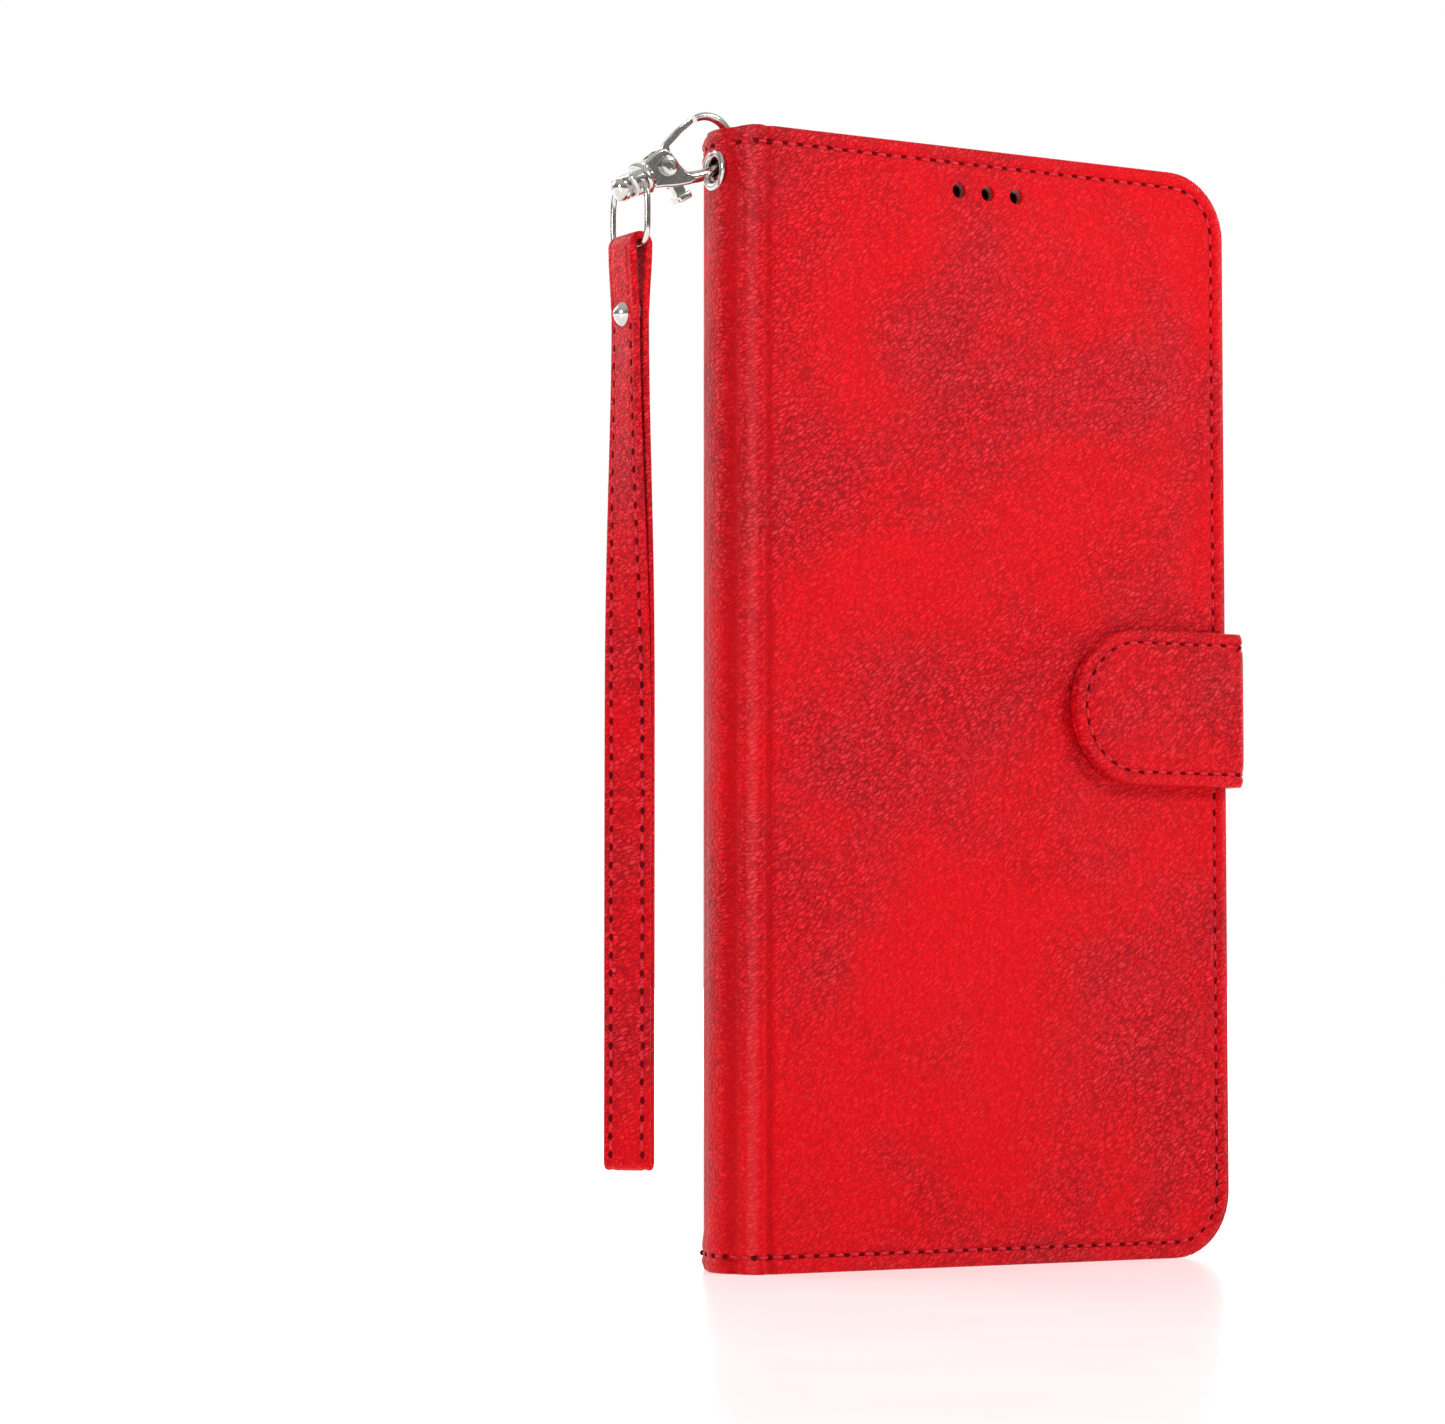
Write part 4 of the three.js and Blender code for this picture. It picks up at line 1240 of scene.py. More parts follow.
@dataclass
class ClaspTab:
    """The leather tab that leaves the back cover, wraps the fore edge and holds the front shut."""

    finishes: Finishes
    sewing: Sewing
    bend: float = 1.5
    rim: float = 0.42
    seam_inset: float = 2.0
    seam_depth: float = 0.21
    band_share: float = 0.72
    root: float = 1.4
    parting: float = 1.2
    hem: tuple[tuple[float, float], ...] = (
        (0.35, 0.14),
        (0.40, 0.05),
        (0.35, -0.08),
        (0.25, -0.30),
        (0.25, -0.04),
        (0.30, 0.30),
        (0.60, 0.16),
        (1.20, 0.07),
        (1.00, 0.0),
    )

    def __post_init__(self) -> None:
        """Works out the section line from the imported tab."""
        flap, band = Extent.of("tab_flap_leather"), Extent.of("tab_band_leather")
        self.low, self.high = flap.low.z, flap.high.z
        self.thickness = flap.high.y - flap.low.y
        outer, front, rear = band.high.x, flap.low.y, band.high.y
        bend = self.bend
        section = [(flap.low.x, front)]
        section += arc((outer - bend, front + bend), bend, -90, 0)
        section += arc((outer - bend, rear - bend), bend, 0, 90)
        section += [(outer - bend - self.root, rear)]
        self.line = FoldLine(section, 1.2)
        self.first = outer - bend - flap.low.x
        self.second = self.first + bend * math.pi / 2 + (rear - front - 2 * bend)
        self.outer, self.front, self.rear = outer, front, rear

    def place(self, flat: np.ndarray) -> np.ndarray:
        """Returns the folded places of flat points (u, depth, z)."""
        u, depth = flat[:, 0], flat[:, 1]
        share = np.interp(u, [self.first - 5, self.first - 0.6], [1.0, self.band_share])
        section = self.line.places(u, -np.where(depth > 0, depth * share, depth))
        return np.stack([section[:, 0], section[:, 1], flat[:, 2]], axis=1)

    def build(self) -> None:
        """Builds the tab in two halves that meet in the middle of the band."""
        length, high, low = self.line.length, self.high, self.low
        box = Extent(Vector((0, 0, low)), Vector((length, self.thickness, high)))
        sheet = Bench.block("tab", box)
        round_tip = (high - low) / 2 - 0.02
        Bench.edges(sheet, lambda a, b: a.x < 0.01 and b.x < 0.01 and abs(a.y - b.y) > 0.1)
        Bench.round_off(round_tip, 14)
        Bench.tidy(sheet, 0.06)
        Bench.edges(sheet, lambda a, b: abs(a.y - b.y) < 1e-3)
        Bench.round_off(self.rim, 3)
        Bench.rings(sheet, FRONT, self.hem)
        Bench.rings(sheet, REAR, ((0.7, 0.0), (0.2, -0.08), (0.8, 0.0)))
        # Inner faces take the lining; rims and sides take the painted edge highlight.
        for face in sheet.data.polygons:
            if face.normal.y > 0.8 and face.center.y / MM > self.thickness - 0.1:
                face.material_index = 1
            elif abs(face.normal.y) < 0.8:
                face.material_index = 2
        bends = [self.first - 6, self.first - 4, self.first - 2.5]
        for corner in (self.first, self.second):
            bends += [corner - 1.6 + 0.35 * step for step in range(16)]
        Bench.slices(sheet, X, sorted(b for b in set(bends) if b < length - 0.6))
        middle = (self.first + self.second) / 2 + self.parting
        inset = self.seam_inset
        tip = round_tip - inset
        centre = (round_tip, (high + low) / 2)
        seam = [(length - 1.0, high - inset), *arc(centre, tip, 90, 270), (length - 1.0, low + inset)]
        frames = self.sewing.frames(self.place, seam, self.seam_depth)
        seam_y = (self.front + self.rear) / 2
        halves = (
            ("tab_front", False, ("tab_band", "tab_flap"), ("tab_flap_leather", "tab_flap_lining")),
            ("tab_root", True, ("back_cover", "tab_band"), ("tab_band_leather", "tab_band_lining")),
        )
        for name, rear, pair, stands_for in halves:
            skin = Bench.copy(sheet, name)
            Bench.keep_half(skin, X, middle, upper=rear)
            Bench.move(skin, self.place)
            Bench.tidy(skin, 0.001, outward=False)
            dress(skin, self.finishes.leather, self.finishes.lining, self.finishes.edge_highlight)
            Bench.smooth(skin, 50)
            mine = [f for f in frames if (f.translation.y / MM > seam_y) == rear]
            stitches = self.sewing.sew(f"{name}_stitching", mine, self.finishes, 0.08)
            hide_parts(*stands_for)
            for piece in (skin, stitches):
                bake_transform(piece)
            LOG.info("built %s with %d stitches", name, len(mine))
        bpy.data.objects.remove(sheet)


@dataclass
class Pockets:
    """The cash pocket and the card slots inside the front cover."""

    finishes: Finishes
    sewing: Sewing
    cash_corner: float = 6.0
    slot_corner: float = 2.0
    seam_inset: float = 1.5

    def build(self) -> None:
        """Builds the four panels and the seam that holds them."""
        box = Extent.of("cash_pocket")
        cash = Bench.slab("cash_pocket_panel", box, self.cash_corner, 0.1, Y, (7, 2))
        Bench.rings(cash, REAR, ((0.8, 0.0), (0.15, -0.06), (0.15, 0.06), (1.0, 0.0)))
        dress(cash, self.finishes.lining)
        hand_over(cash, 42, "front_cover", Slot.LINING, "cash_pocket")
        inset = self.seam_inset
        seam = [
            (box.high.x - inset, box.high.z - inset),
            (box.high.x - inset, box.low.z + inset),
            (box.low.x + inset, box.low.z + inset),
            (box.low.x + inset, box.high.z - inset),
        ]
        frames = self.sewing.frames(rear_face(box.high.y), seam, 0.05)
        stitches = self.sewing.sew("pocket_stitching", frames, self.finishes, 0.04)
        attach(stitches, "front_cover")
        for number in (1, 2, 3):
            node = f"card_slot_{number}"
            box = Extent.of(node)
            panel = Bench.slab(f"card_panel_{number}", box, self.slot_corner, 0.08, Y, (5, 2))
            Bench.rings(panel, REAR, ((0.9, 0.0), (0.12, -0.07), (0.15, 0.07), (0.5, 0.0)))
            dress(panel, self.finishes.leather)
            hand_over(panel, 42, "front_cover", Slot.LEATHER, node)


@dataclass
class InnerCase:
    """The bumper that holds the phone, with a stiff back under leather."""

    finishes: Finishes
    sewing: Sewing
    corner: float = 11.0
    wall: float = 1.5
    lip_reach: float = 1.7
    lip: float = 0.75
    step_height: float = 1.1
    window_corner: float = 8.3
    window: Rect = (0.35, 34.35, 125.2, 161.0)
    port: tuple[float, float] = (7.5, 2.5)
    mute: tuple[float, float] = (126.7, 135.2)
    mute_half: float = 2.3
    button_corner: float = 1.75
    seam_inset: float = 2.25
    seam_corner: float = 7.2
    sharp: float = 38.0
    rib_pitch: float = 1.7
    rib_length: float = 5.4
    rib_angle: float = 38.0
    grip: tuple[float, float] = (24.0, 72.0)
    emblem: tuple[float, float] = (12.4, 9.6)

    def build(self) -> None:
        """Builds the frame, back, leather, buttons and grips."""
        self.box = Extent.of("bumper_frame")
        self.build_frame()
        self.build_back()
        self.build_buttons()
        self.build_grips()

    def cutter(self, low: Point, high: Point, corner: float, axis: int = Y) -> bpy.types.Object:
        """Returns a round-cornered tool between two corners."""
        return Bench.slab("tool", Extent(Vector(low), Vector(high)), corner, 0, axis, (8, 1))

    def build_frame(self) -> None:
        """Builds the rubber frame with its stepped lip and cut-outs."""
        low, high = self.box.low, self.box.high
        body = Extent(Vector((low.x, low.y + self.step_height, low.z)), high)
        frame = Bench.slab("case_bumper", body, self.corner, 0, Y, (10, 1))
        Bench.edges(frame, lambda a, b: min(a.y, b.y) > high.y - 0.01)
        Bench.round_off(0.7, 3)
        Bench.rings(
            frame, FRONT, ((0.42, 0.0), (0.06, self.step_height - 0.3), (0.35, 0.3), (0.6, 0.0))
        )
        inner, open_by = self.wall, self.wall + self.lip_reach
        pad_y = Extent.of("volume_pad").middle.y
        port, tall = self.port
        cuts = [
            self.cutter(
                (low.x + inner, low.y + self.lip, low.z + inner),
                (high.x - inner, high.y + 2, high.z - inner),
                self.corner - inner,
            ),
            self.cutter(
                (low.x + open_by, low.y - 2, low.z + open_by),
                (high.x - open_by, high.y + 1, high.z - open_by),
                self.corner - open_by,
            ),
            self.cutter((-port, pad_y - tall, low.z - 1), (port, pad_y + tall, low.z + 2.4), 2.3, Z),
            self.cutter(
                (low.x - 1, pad_y - self.mute_half, self.mute[0]),
                (low.x + 2.4, pad_y + self.mute_half, self.mute[1]),
                2.2,
                X,
            ),
        ]
        for node, inward in (("volume_pad", 1), ("power_pad", -1)):
            pad = Extent.of(node).grown(0.3, (Y, Z))
            side = low.x if inward > 0 else high.x
            near, far = sorted((side - inward, side + 2.4 * inward))
            cuts.append(
                self.cutter((near, pad.low.y, pad.low.z), (far, pad.high.y, pad.high.z), 2.0, X)
            )
        Bench.carve(frame, *cuts)
        Bench.soften(frame, 0.16, 2, 50)
        Bench.tidy(frame, 0.001, outward=False)
        dress(frame, self.finishes.rubber)
        hand_over(frame, self.sharp, "inner_case", Slot.RUBBER, "bumper_frame")

    def build_back(self) -> None:
        """Builds the stiff shell and its leather with two pressed rings."""
        left, right, bottom, top = self.window
        for node, name, slot in (
            ("case_back_shell", "case_shell", Slot.RUBBER),
            ("case_back_leather", "case_leather", Slot.LEATHER),
        ):
            box = Extent.of(node)
            leather = slot is Slot.LEATHER
            corner = self.corner - self.wall - 0.1
            panel = Bench.slab(name, box, corner, 0.18 if leather else 0.1, Y, (10, 2))
            if leather:
                Bench.rings(
                    panel, REAR, ((1.9, 0.0), (0.25, -0.12), (0.2, 0.0), (0.3, 0.14), (1.2, 0.0))
                )
            tool = self.cutter(
                (left, box.low.y - 1, bottom), (right, box.high.y + 1, top), self.window_corner
            )
            Bench.carve(panel, tool)
            dress(panel, self.finishes.case_leather if leather else self.finishes.rubber)
            if leather:
                panel = self.emboss(panel, box)
                self.sew_border(box)
            hand_over(panel, self.sharp, "inner_case", slot, node)

    def emboss(self, panel: bpy.types.Object, box: Extent) -> bpy.types.Object:
        """Presses two plain rings into the leather and returns the panel."""
        rings = [panel]
        for radius in self.emblem:
            band = arc((0, 0), 0.28, 0, 330, 11)
            band = [(radius + r, box.high.y + 0.5 * rise) for r, rise in band]
            ring = Bench.spun("ring", (0.0, 0.0, box.middle.z - 6), Y, band, 64)
            dress(ring, self.finishes.case_leather)
            rings.append(ring)
        return Bench.join(panel.name, rings)

    def sew_border(self, box: Extent) -> None:
        """Sews the seam round the leather back."""
        low, high, inset = box.low, box.high, self.seam_inset
        seam = round_loop(
            low.x + inset, high.x - inset, low.z + inset, high.z - inset, self.seam_corner
        )
        frames = self.sewing.frames(rear_face(high.y), seam, 0.12)
        piece = self.sewing.sew("case_stitching", frames, self.finishes, 0.03)
        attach(piece, "inner_case")

    def build_buttons(self) -> None:
        """Builds the two raised button pads."""
        for node, name, body in (
            ("volume_pad", "volume_button_pad", "volume_button"),
            ("power_pad", "power_button_pad", "power_button"),
        ):
            box = Extent.of(node)
            pad = Bench.slab(name, box, self.button_corner, 0.3, X, (8, 3))
            outward = Vector((-1 if box.middle.x < 0 else 1, 0, 0))
            Bench.rings(pad, outward, ((0.5, -0.08), (0.2, 0.06), (0.3, 0.0)))
            dress(pad, self.finishes.rubber)
            hand_over(pad, self.sharp, body, Slot.RUBBER, node)

    def build_grips(self) -> None:
        """Builds the slanted ribs on both sides of the frame."""
        length, middle_y = self.rib_length, Extent.of("volume_pad").middle.y
        box = Extent(Vector((-0.35, -length / 2, -0.4)), Vector((0.35, length / 2, 0.4)))
        rib = Bench.slab("rib", box, 0.3, 0.14, Y, (2, 1))
        ribs = []
        count = int((self.grip[1] - self.grip[0]) / self.rib_pitch)
        for side in (-1, 1):
            edge = self.box.high.x * side
            for index in range(count):
                copy = Bench.copy(rib, "case_grips")
                z = self.grip[0] + (index + 0.5) * self.rib_pitch
                copy.matrix_world = Matrix.Translation(
                    Vector((edge - 0.12 * side, middle_y, z)) * MM
                ) @ Matrix.Rotation(math.radians(self.rib_angle * side), 4, "X")
                ribs.append(copy)
        bpy.data.objects.remove(rib)
        grips = Bench.join("case_grips", ribs)
        dress(grips, self.finishes.rubber)
        hand_over(grips, self.sharp, "inner_case", Slot.RUBBER)


@dataclass
class SwivelClasp:
    """The snap hook, its gate and swivel, modelled upright and then hung in the eyelet."""

    finishes: Finishes
    origin: Point = (-46.0, -6.6, 165.85)
    lean: float = 60.0
    wire_radius: float = 0.7
    crown: float = 4.05
    pivot: float = -8.5
    half: float = 1.3
    slot_half: float = 0.8

    def hang(self, piece: bpy.types.Object, body: str, *nodes: str) -> None:
        """Leans an upright piece over into the eyelet and hands it over."""
        piece.matrix_world = Matrix.Translation(Vector(self.origin) * MM) @ Matrix.Rotation(
            math.radians(self.lean), 4, "Y"
        )
        Bench.settle(piece)
        dress(piece, self.finishes.nickel)
        hand_over(piece, 40, body, Slot.NICKEL, *nodes)

    def build(self) -> None:
        """Builds the hook, gate, rivet, swivel and post."""
        self.build_hook()
        self.build_gate()
        self.build_swivel()

    def build_hook(self) -> None:
        """Builds the tapered bow, the two cheeks and the collar."""
        bow = [(x, 0.0, z) for x, z in arc((0, 0), self.crown, 182, 0, 40)]
        bow += [(4.02, 0.0, -1.3), (3.85, 0.0, -2.6), (3.5, 0.0, -4.2), (3.0, 0.0, -6.0), (2.4, 0.0, -8.0)]
        swell = [float(s) for s in np.interp(np.arange(len(bow)), [0, 12, 40, 45], [0.8, 1, 1.08, 1.5])]
        outline = (
            (-2.5, -7.6), (-1.6, -6.9), (0.6, -6.5), (2.1, -5.9), (2.9, -5.0), (3.9, -5.0),
            (4.0, -6.2), (3.3, -8.6), (2.5, -10.6), (2.0, -12.0), (-2.0, -12.0), (-2.5, -10.2), (-2.7, -8.7),
        )  # fmt: skip
        cheeks = Bench.prism("cheeks", outline, self.half, 0.4, 3)
        slot = Extent(
            Vector((-6, -self.slot_half, -10.8)), Vector((1.6, self.slot_half, -5.2))
        )
        lever_slot = Extent(
            Vector((1.2, -self.slot_half, -9.6)), Vector((6, self.slot_half, -6.9))
        )
        Bench.carve(cheeks, Bench.block("tool", slot), Bench.block("tool", lever_slot))
        collar = Bench.turned(
            "collar",
            (0, 0, 0),
            Z,
            (
                (-13.5, 2.2), (-13.3, 2.55), (-12.9, 2.65), (-12.5, 2.55),
                (-12.3, 2.3), (-12.0, 2.1), (-11.6, 1.9),
            ),
        )  # fmt: skip
        wire = Bench.wire("bow", bow, self.wire_radius, swell)
        hook = Bench.join("clasp_hook", [wire, cheeks, collar])
        self.hang(hook, "hook", "hook_body")

    def build_gate(self) -> None:
        """Builds the gate with its thumb lever, and the hollow rivet it turns on."""
        outline = (
            (-4.55, -0.75), (-3.7, -0.75), (-3.2, -3.4), (-2.3, -6.4), (0.6, -7.2), (3.0, -7.1), (5.0, -7.0),
            (5.2, -8.9), (3.2, -9.0), (1.2, -9.4), (0.0, -9.8), (-1.4, -9.2), (-3.2, -6.8), (-4.1, -4.0),
        )  # fmt: skip
        arm = Bench.prism("arm", outline, 0.5, 0.18, 2)
        pad = Bench.slab(
            "pad", Extent(Vector((4.6, -1.25, -9.3)), Vector((5.7, 1.25, -6.7))), 0.5, 0.3, X, (3, 3)
        )
        self.hang(Bench.join("clasp_gate", [arm, pad]), "gate", "gate_lever")
        end, face = self.half + 0.85, self.half + 0.32
        pin = Bench.turned(
            "gate_pin",
            (0, 0, self.pivot),
            Y,
            (
                (-end, 1.0), (-end + 0.2, 1.38), (-face, 1.5), (-face + 0.04, 0.6),
                (face - 0.04, 0.6), (face, 1.5), (end - 0.2, 1.38), (end, 1.0),
            ),
            28,
        )  # fmt: skip
        for side in (FRONT, REAR):
            Bench.rings(pin, side, ((0.34, 0.0), (0.12, -0.4)))
        self.hang(pin, "hook", "gate_rivet")

    def build_swivel(self) -> None:
        """Builds the block that carries the ring and the domed post through it."""
        box = Extent(Vector((-1.8, -3.45, -16.1)), Vector((1.8, 3.45, -13.9)))
        self.hang(Bench.slab("swivel_yoke", box, 1.1, 0.4, Z, (5, 3)), "swivel", "swivel_block")
        post = Bench.turned(
            "swivel_post",
            (0, 0, 0),
            Z,
            (
                (-17.9, 0.35), (-17.78, 0.95), (-17.45, 1.45), (-17.0, 1.75), (-16.6, 1.82),
                (-16.42, 1.7), (-16.38, 1.2), (-12.7, 1.2),
            ),
        )  # fmt: skip
        self.hang(post, "hook", "swivel_rivet")


@dataclass
class WristStrap:
    """The leather loop that folds round the clasp's ring, and its rivet."""

    finishes: Finishes
    sewing: Sewing
    middle: tuple[float, float] = (-58.99, -6.6)
    pivot_z: float = 158.35
    fold_z: float = 149.35
    low_z: float = 15.2
    flare_z: float = 138.0
    thickness: float = 1.1
    flat_half: float = 1.3
    fold_half: float = 1.85
    half_width: float = 3.5
    seam: float = 2.35
    twist: float = 42.0
    twist_from: float = 139.35
    twist_to: float = 71.35

    def __post_init__(self) -> None:
        """Works out the loop's section in X and Z."""
        x = self.middle[0]
        up = [(x, self.low_z)]
        up += arc((x, self.low_z + self.flat_half), self.flat_half, -90, 0, 14)
        up += [(x + self.flat_half, self.flare_z)]
        for step in range(1, 12):
            share = step / 12
            wide = self.flat_half + (self.fold_half - self.flat_half) * ease(share)
            up.append((x + wide, self.flare_z + (self.fold_z - self.flare_z) * share))
        up += arc((x, self.fold_z), self.fold_half, 0, 90, 16)
        down = [(2 * x - px, pz) for px, pz in reversed(up[:-1])]
        self.line = FoldLine(up + down, 0.9)

    def place(self, flat: np.ndarray) -> np.ndarray:
        """Returns the places on the twisted loop of flat points (u, depth, width)."""
        x0, y0 = self.middle
        section = self.line.places(flat[:, 0], -flat[:, 1])
        across, z = section[:, 0] - x0, section[:, 1]
        share = np.clip((self.twist_from - z) / (self.twist_from - self.twist_to), 0, 1)
        angle = np.radians(self.twist) * ease(share)
        wide = -flat[:, 2]
        return np.stack(
            [
                x0 + across * np.cos(angle) - wide * np.sin(angle),
                y0 + across * np.sin(angle) + wide * np.cos(angle),
                z,
            ],
            axis=1,
        )

    def build(self) -> None:
        """Builds the ring, the loop, its seams and the rivet."""
        self.build_ring()
        self.build_loop()
        self.build_rivet()

    def build_ring(self) -> None:
        """Bends the ring's wire from ear to ear."""
        x, y = self.middle
        half = [(2.2, 0.0), (3.3, 0.0), (4.0, -0.25), (4.6, -0.9), (4.95, -1.8), (5.1, -3.0), (5.1, -6.0)]
        half += [(5.0, -7.3), (4.7, -8.2), (4.2, -8.8), (3.6, -9.0), (1.5, -9.0)]
        points = [(x, y - w, self.pivot_z + h) for w, h in half]
        points += [(x, y + w, self.pivot_z + h) for w, h in reversed(half)]
        ring = Bench.wire("clasp_ring", self.eased(points), 0.45)
        dress(ring, self.finishes.nickel)
        hand_over(ring, 60, "ring", Slot.NICKEL, "swivel_ring")

    @staticmethod
    def eased(points: Sequence[Point]) -> list[Point]:
        """Returns a row of points with its corners cut twice."""
        row = [Vector(p) for p in points]
        for _ in range(2):
            cut = [row[0]]
            for a, b in zip(row, row[1:]):
                cut += [a.lerp(b, 0.25), a.lerp(b, 0.75)]
            row = [*cut, row[-1]]
        return [tuple(p) for p in row]

    def build_loop(self) -> None:
        """Builds the strap as one closed strip with two seams on each layer."""
        length = self.line.length
        box = Extent(
            Vector((0, 0, -self.half_width)), Vector((length, self.thickness, self.half_width))
        )
        strap = Bench.block("wrist_strap", box)
        Bench.edges(strap, lambda a, b: abs(a.x - b.x) > 1)
        Bench.round_off(0.3, 3)
        Bench.faces(strap, lambda _, normal: abs(normal.x) > 0.99)
        bpy.ops.mesh.delete(type="FACE")
        Bench.rings(strap, FRONT, ((0.25, 0.03), (0.35, -0.1), (0.3, 0.0), (0.35, 0.12), (0.4, 0.0)), True)
        top = length / 2
        places = [0.25 * step for step in range(1, 16)]
        places += [4.5 + 2.5 * step for step in range(int((top - 14) / 2.5))]
        places += [top - 9 + 1.0 * step for step in range(5)] + [top - 4 + 0.25 * step for step in range(17)]
        Bench.slices(strap, X, sorted({round(p, 4) for q in places for p in (q, length - q)}))
        Bench.move(strap, self.place)
        Bench.tidy(strap, 0.01, outward=False)
        dress(strap, self.finishes.leather)
        hand_over(strap, 50, "strap", Slot.LEATHER, "strap_loop")
        frames = []
        for wide in (-self.seam, self.seam):
            for low, high in ((3.0, top - 12.5), (top + 12.5, length - 3.0)):
                frames += self.sewing.frames(self.place, [(low, wide), (high, wide)], 0.1)
        stitches = self.sewing.sew("strap_stitching", frames, self.finishes, 0.06)
        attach(stitches, "strap")
        LOG.info("sewed %s with %d stitches", strap.name, len(frames))

    def build_rivet(self) -> None:
        """Builds the rivet's domed cap and its washer."""
        for node, name in (("strap_rivet_cap", "strap_rivet"), ("strap_rivet_back", "strap_washer")):
            box = Extent.of(node)
            outward = 1 if abs(box.high.x - self.middle[0]) > abs(box.low.x - self.middle[0]) else -1
            radius, depth = (box.high.z - box.low.z) / 2, box.high.x - box.low.x
            rings = ((0.0, 0.94), (0.14, 1.0), (0.3, 0.97), (0.55, 0.84), (0.8, 0.55), (1.0, 0.15))
            start = box.low.x if outward > 0 else box.high.x
            sections = sorted((outward * depth * p, radius * r) for p, r in rings)
            cap = Bench.turned(name, (start, box.middle.y, box.middle.z), X, sections, 36)
            dress(cap, self.finishes.nickel)
            hand_over(cap, 50, "strap", Slot.NICKEL, node)


@dataclass
class Fittings:
    """The eyelet in the spine, and the stiffeners and magnets that stay as they were packed."""

    finishes: Finishes

    def build(self) -> None:
        """Builds the eyelet."""
        box = Extent.of("strap_eyelet")
        back = box.high.x - box.low.x
        profile = (
            (1.9, 0.35), (2.1, 0.12), (2.45, 0.0), (2.8, 0.08), (3.05, 0.25), (3.1, 0.42),
            (2.4, 0.46), (2.3, 0.8), (2.3, back - 0.45), (3.0, back - 0.4), (2.9, back - 0.1),
            (2.4, back), (1.9, back - 0.3),
        )  # fmt: skip
        middle = (box.low.x, box.middle.y, box.middle.z)
        eyelet = Bench.spun("eyelet", middle, X, profile, 48)
        dress(eyelet, self.finishes.nickel)
        hand_over(eyelet, 60, "spine", Slot.NICKEL, "strap_eyelet")

    def dress_packed(self, nodes: dict[str, bpy.types.Object]) -> None:
        """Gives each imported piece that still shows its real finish."""
        for name, node in nodes.items():
            if node.hide_render:
                continue
            finish = self.finishes.steel
            if name.endswith("_board"):
                finish = self.finishes.board
            elif "magnet" in name:
                finish = self.finishes.magnet
            node.data.materials.clear()
            node.data.materials.append(finish)
            LOG.info("dressed %s", name)


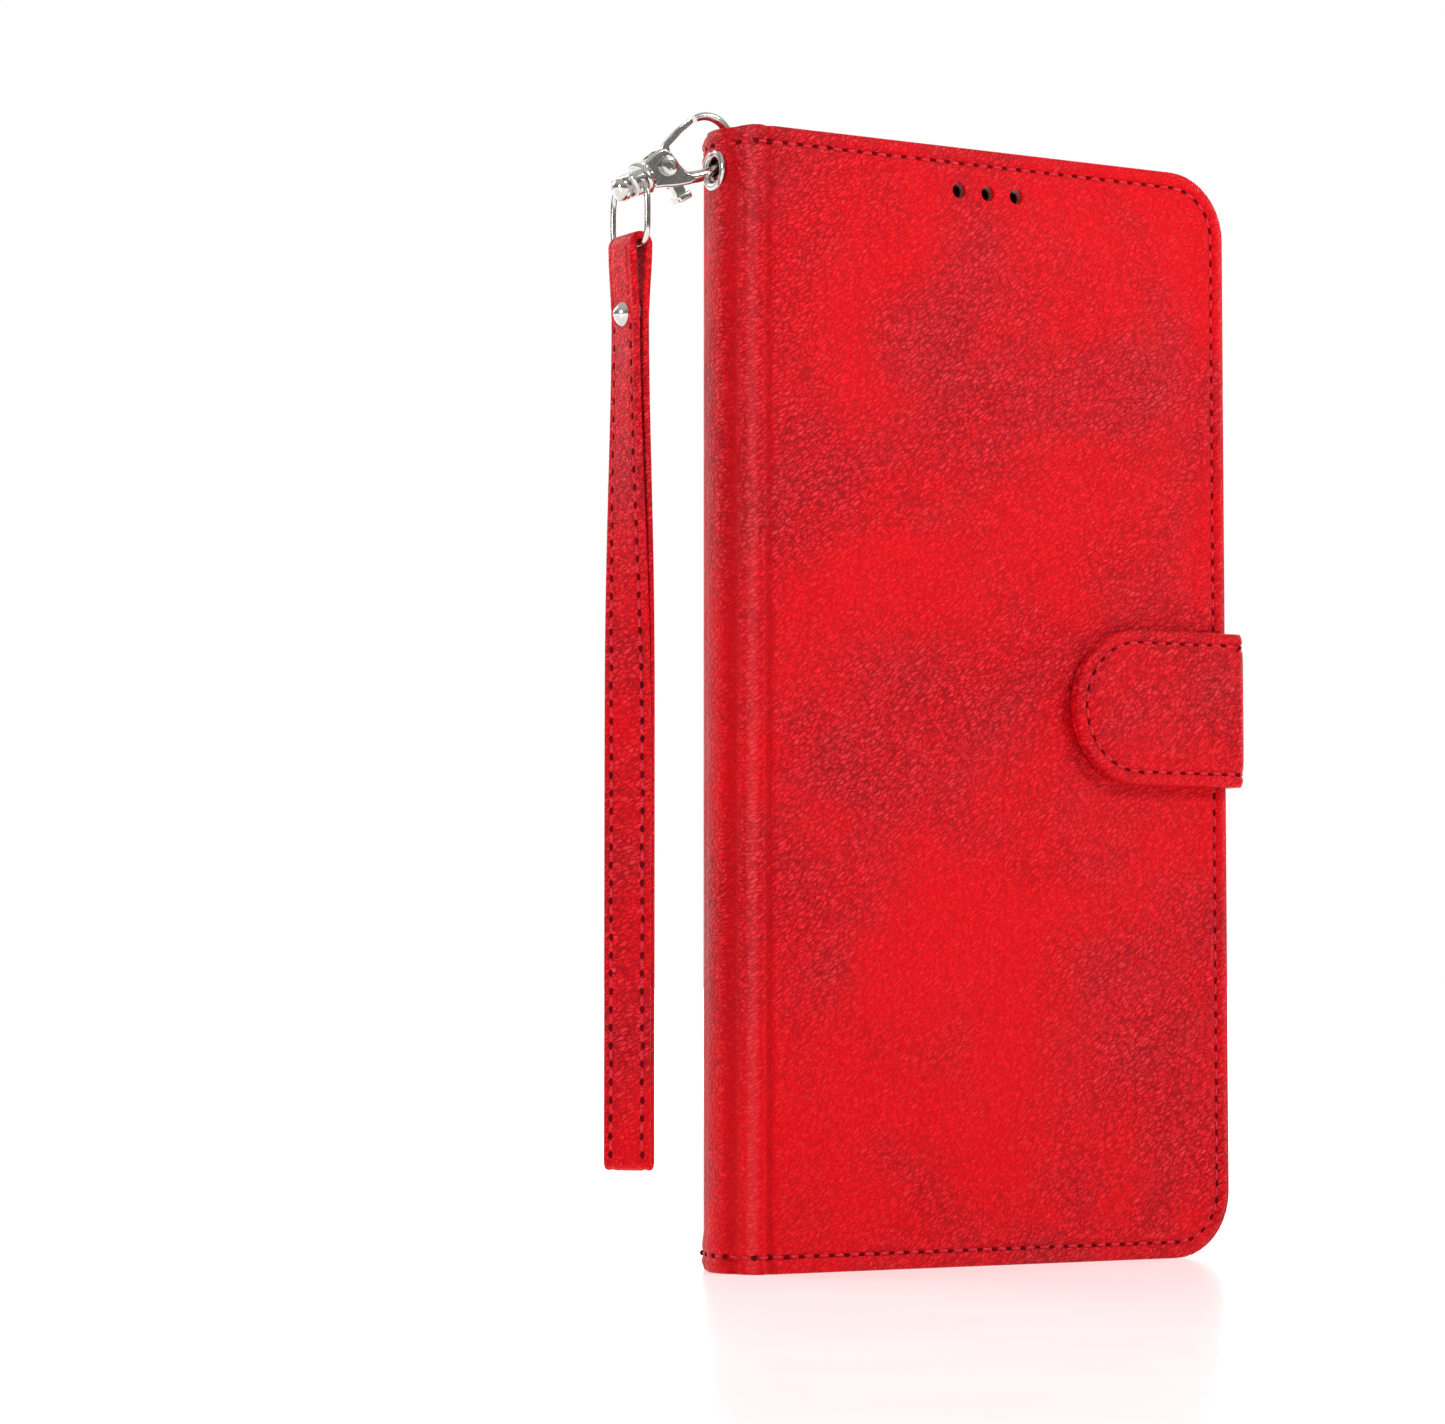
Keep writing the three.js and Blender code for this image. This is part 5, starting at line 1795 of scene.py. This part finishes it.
@dataclass
class Studio:
    """A pale floor, soft lights and the camera."""

    camera_at: Point = (-361.45, -546.8, 42.8)
    yaw: float = 30.49
    pitch: float = 3.56
    lens: float = 106.6
    sensor: float = 36.0
    horizon: float = 0.14
    zenith: float = 0.64
    backdrop: float = 1.05
    floor_glow: float = 0.36
    rise_span: tuple[float, float] = (0.05, 0.85)
    backdrop_span: tuple[float, float] = (0.15, 0.75)
    glow_span: tuple[float, float] = (250.0, 1100.0)

    def build(self) -> None:
        """Builds the camera, floor, world and lights."""
        self.build_camera()
        self.build_floor()
        self.build_world()
        for name, at, size, watts in (
            ("key", (0.62, -0.95, 0.95), 0.28, 9.2),
            ("left", (-1.15, -0.30, 0.45), 0.25, 4.2),
            ("rear_key", (-0.6, 1.15, 0.85), 0.5, 4.0),
            ("edge", (1.2, 0.25, 0.5), 0.35, 2.6),
        ):
            bpy.ops.object.light_add(type="AREA", location=at)
            light = bpy.context.object
            light.name = f"{name}_light"
            light.data.size, light.data.energy = size, watts
            aim = Vector((0, -0.006, 0.085)) - Vector(at)
            light.rotation_euler = aim.to_track_quat("-Z", "Y").to_euler()

    def build_camera(self) -> None:
        """Sets the camera up."""
        yaw, pitch = math.radians(self.yaw), math.radians(self.pitch)
        aim = Vector(
            (math.sin(yaw) * math.cos(pitch), math.cos(yaw) * math.cos(pitch), math.sin(pitch))
        )
        bpy.ops.object.camera_add(location=Vector(self.camera_at) * MM)
        camera = bpy.context.object
        camera.rotation_euler = aim.to_track_quat("-Z", "Y").to_euler()
        camera.data.lens, camera.data.sensor_width = self.lens, self.sensor
        camera.data.sensor_fit = "HORIZONTAL"
        camera.data.clip_start, camera.data.clip_end = 0.01, 100
        bpy.context.scene.camera = camera

    def build_floor(self) -> None:
        """Lays the pale floor."""
        bpy.ops.mesh.primitive_plane_add(size=30)
        floor = Bench.fresh("floor")
        recipe = Recipe("pale_floor", Emission_Color=WHITE, Specular_IOR_Level=0.5)
        reach = recipe.node("ShaderNodeVectorMath", operation="LENGTH")
        recipe.feed(reach.inputs[0], recipe.space())
        glow = recipe.range(reach.outputs["Value"], *self.glow_span, (self.floor_glow, 1.0))
        recipe.feed(recipe.shader.inputs["Emission Strength"], glow)
        grain = recipe.noise(recipe.space(), 40, 2)
        tint = recipe.blend(grain, (0.86, 0.86, 0.865, 1), (0.88, 0.88, 0.88, 1))
        dress(floor, recipe.done(tint, recipe.range(grain, 0, 1, (0.2, 0.24))))

    def build_world(self) -> None:
        """Lights the room softly, brighter behind the wallet, and shows it white."""
        world = bpy.data.worlds.new("studio")
        bpy.context.scene.world = world
        world.use_nodes = True
        n = Nodes(world.node_tree)
        way = n.node("ShaderNodeTexCoord").outputs["Generated"]
        split = n.node("ShaderNodeSeparateXYZ")
        n.feed(split.inputs[0], way)
        rise = n.range(split.outputs["Z"], *self.rise_span, (self.horizon, self.zenith))
        ahead = n.node("ShaderNodeVectorMath", operation="DOT_PRODUCT")
        yaw = math.radians(self.yaw)
        n.feed(ahead.inputs[0], way)
        n.feed(ahead.inputs[1], (math.sin(yaw), math.cos(yaw), 0))
        behind = n.range(ahead.outputs["Value"], *self.backdrop_span, (0.0, self.backdrop))
        soft, shown = n.tree.nodes["Background"], n.node("ShaderNodeBackground")
        for light in (soft, shown):
            n.feed(light.inputs["Color"], WHITE)
        n.feed(soft.inputs["Strength"], n.sums("MAXIMUM", rise, behind))
        mix = n.node("ShaderNodeMixShader")
        n.feed(mix.inputs["Fac"], n.node("ShaderNodeLightPath").outputs["Is Camera Ray"])
        n.feed(mix.inputs[1], soft.outputs[0])
        n.feed(mix.inputs[2], shown.outputs[0])
        n.feed(n.tree.nodes["World Output"].inputs["Surface"], mix.outputs[0])
        bpy.context.scene.view_settings.view_transform = "Standard"


def main() -> None:
    """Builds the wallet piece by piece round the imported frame."""
    logging.basicConfig(level=logging.INFO, format="%(message)s")
    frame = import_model()
    Bench.clear()
    finishes = Finishes()
    sewing = Sewing()
    Studio().build()
    for part in (
        Folio(finishes, sewing),
        ClaspTab(finishes, sewing),
        Pockets(finishes, sewing),
        InnerCase(finishes, sewing),
        SwivelClasp(finishes),
        WristStrap(finishes, sewing),
    ):
        part.build()
    fittings = Fittings(finishes)
    fittings.build()
    fittings.dress_packed(frame["nodes"])
    sewing.put_away()
    Bench.clear()


if __name__ == "__main__":
    main()
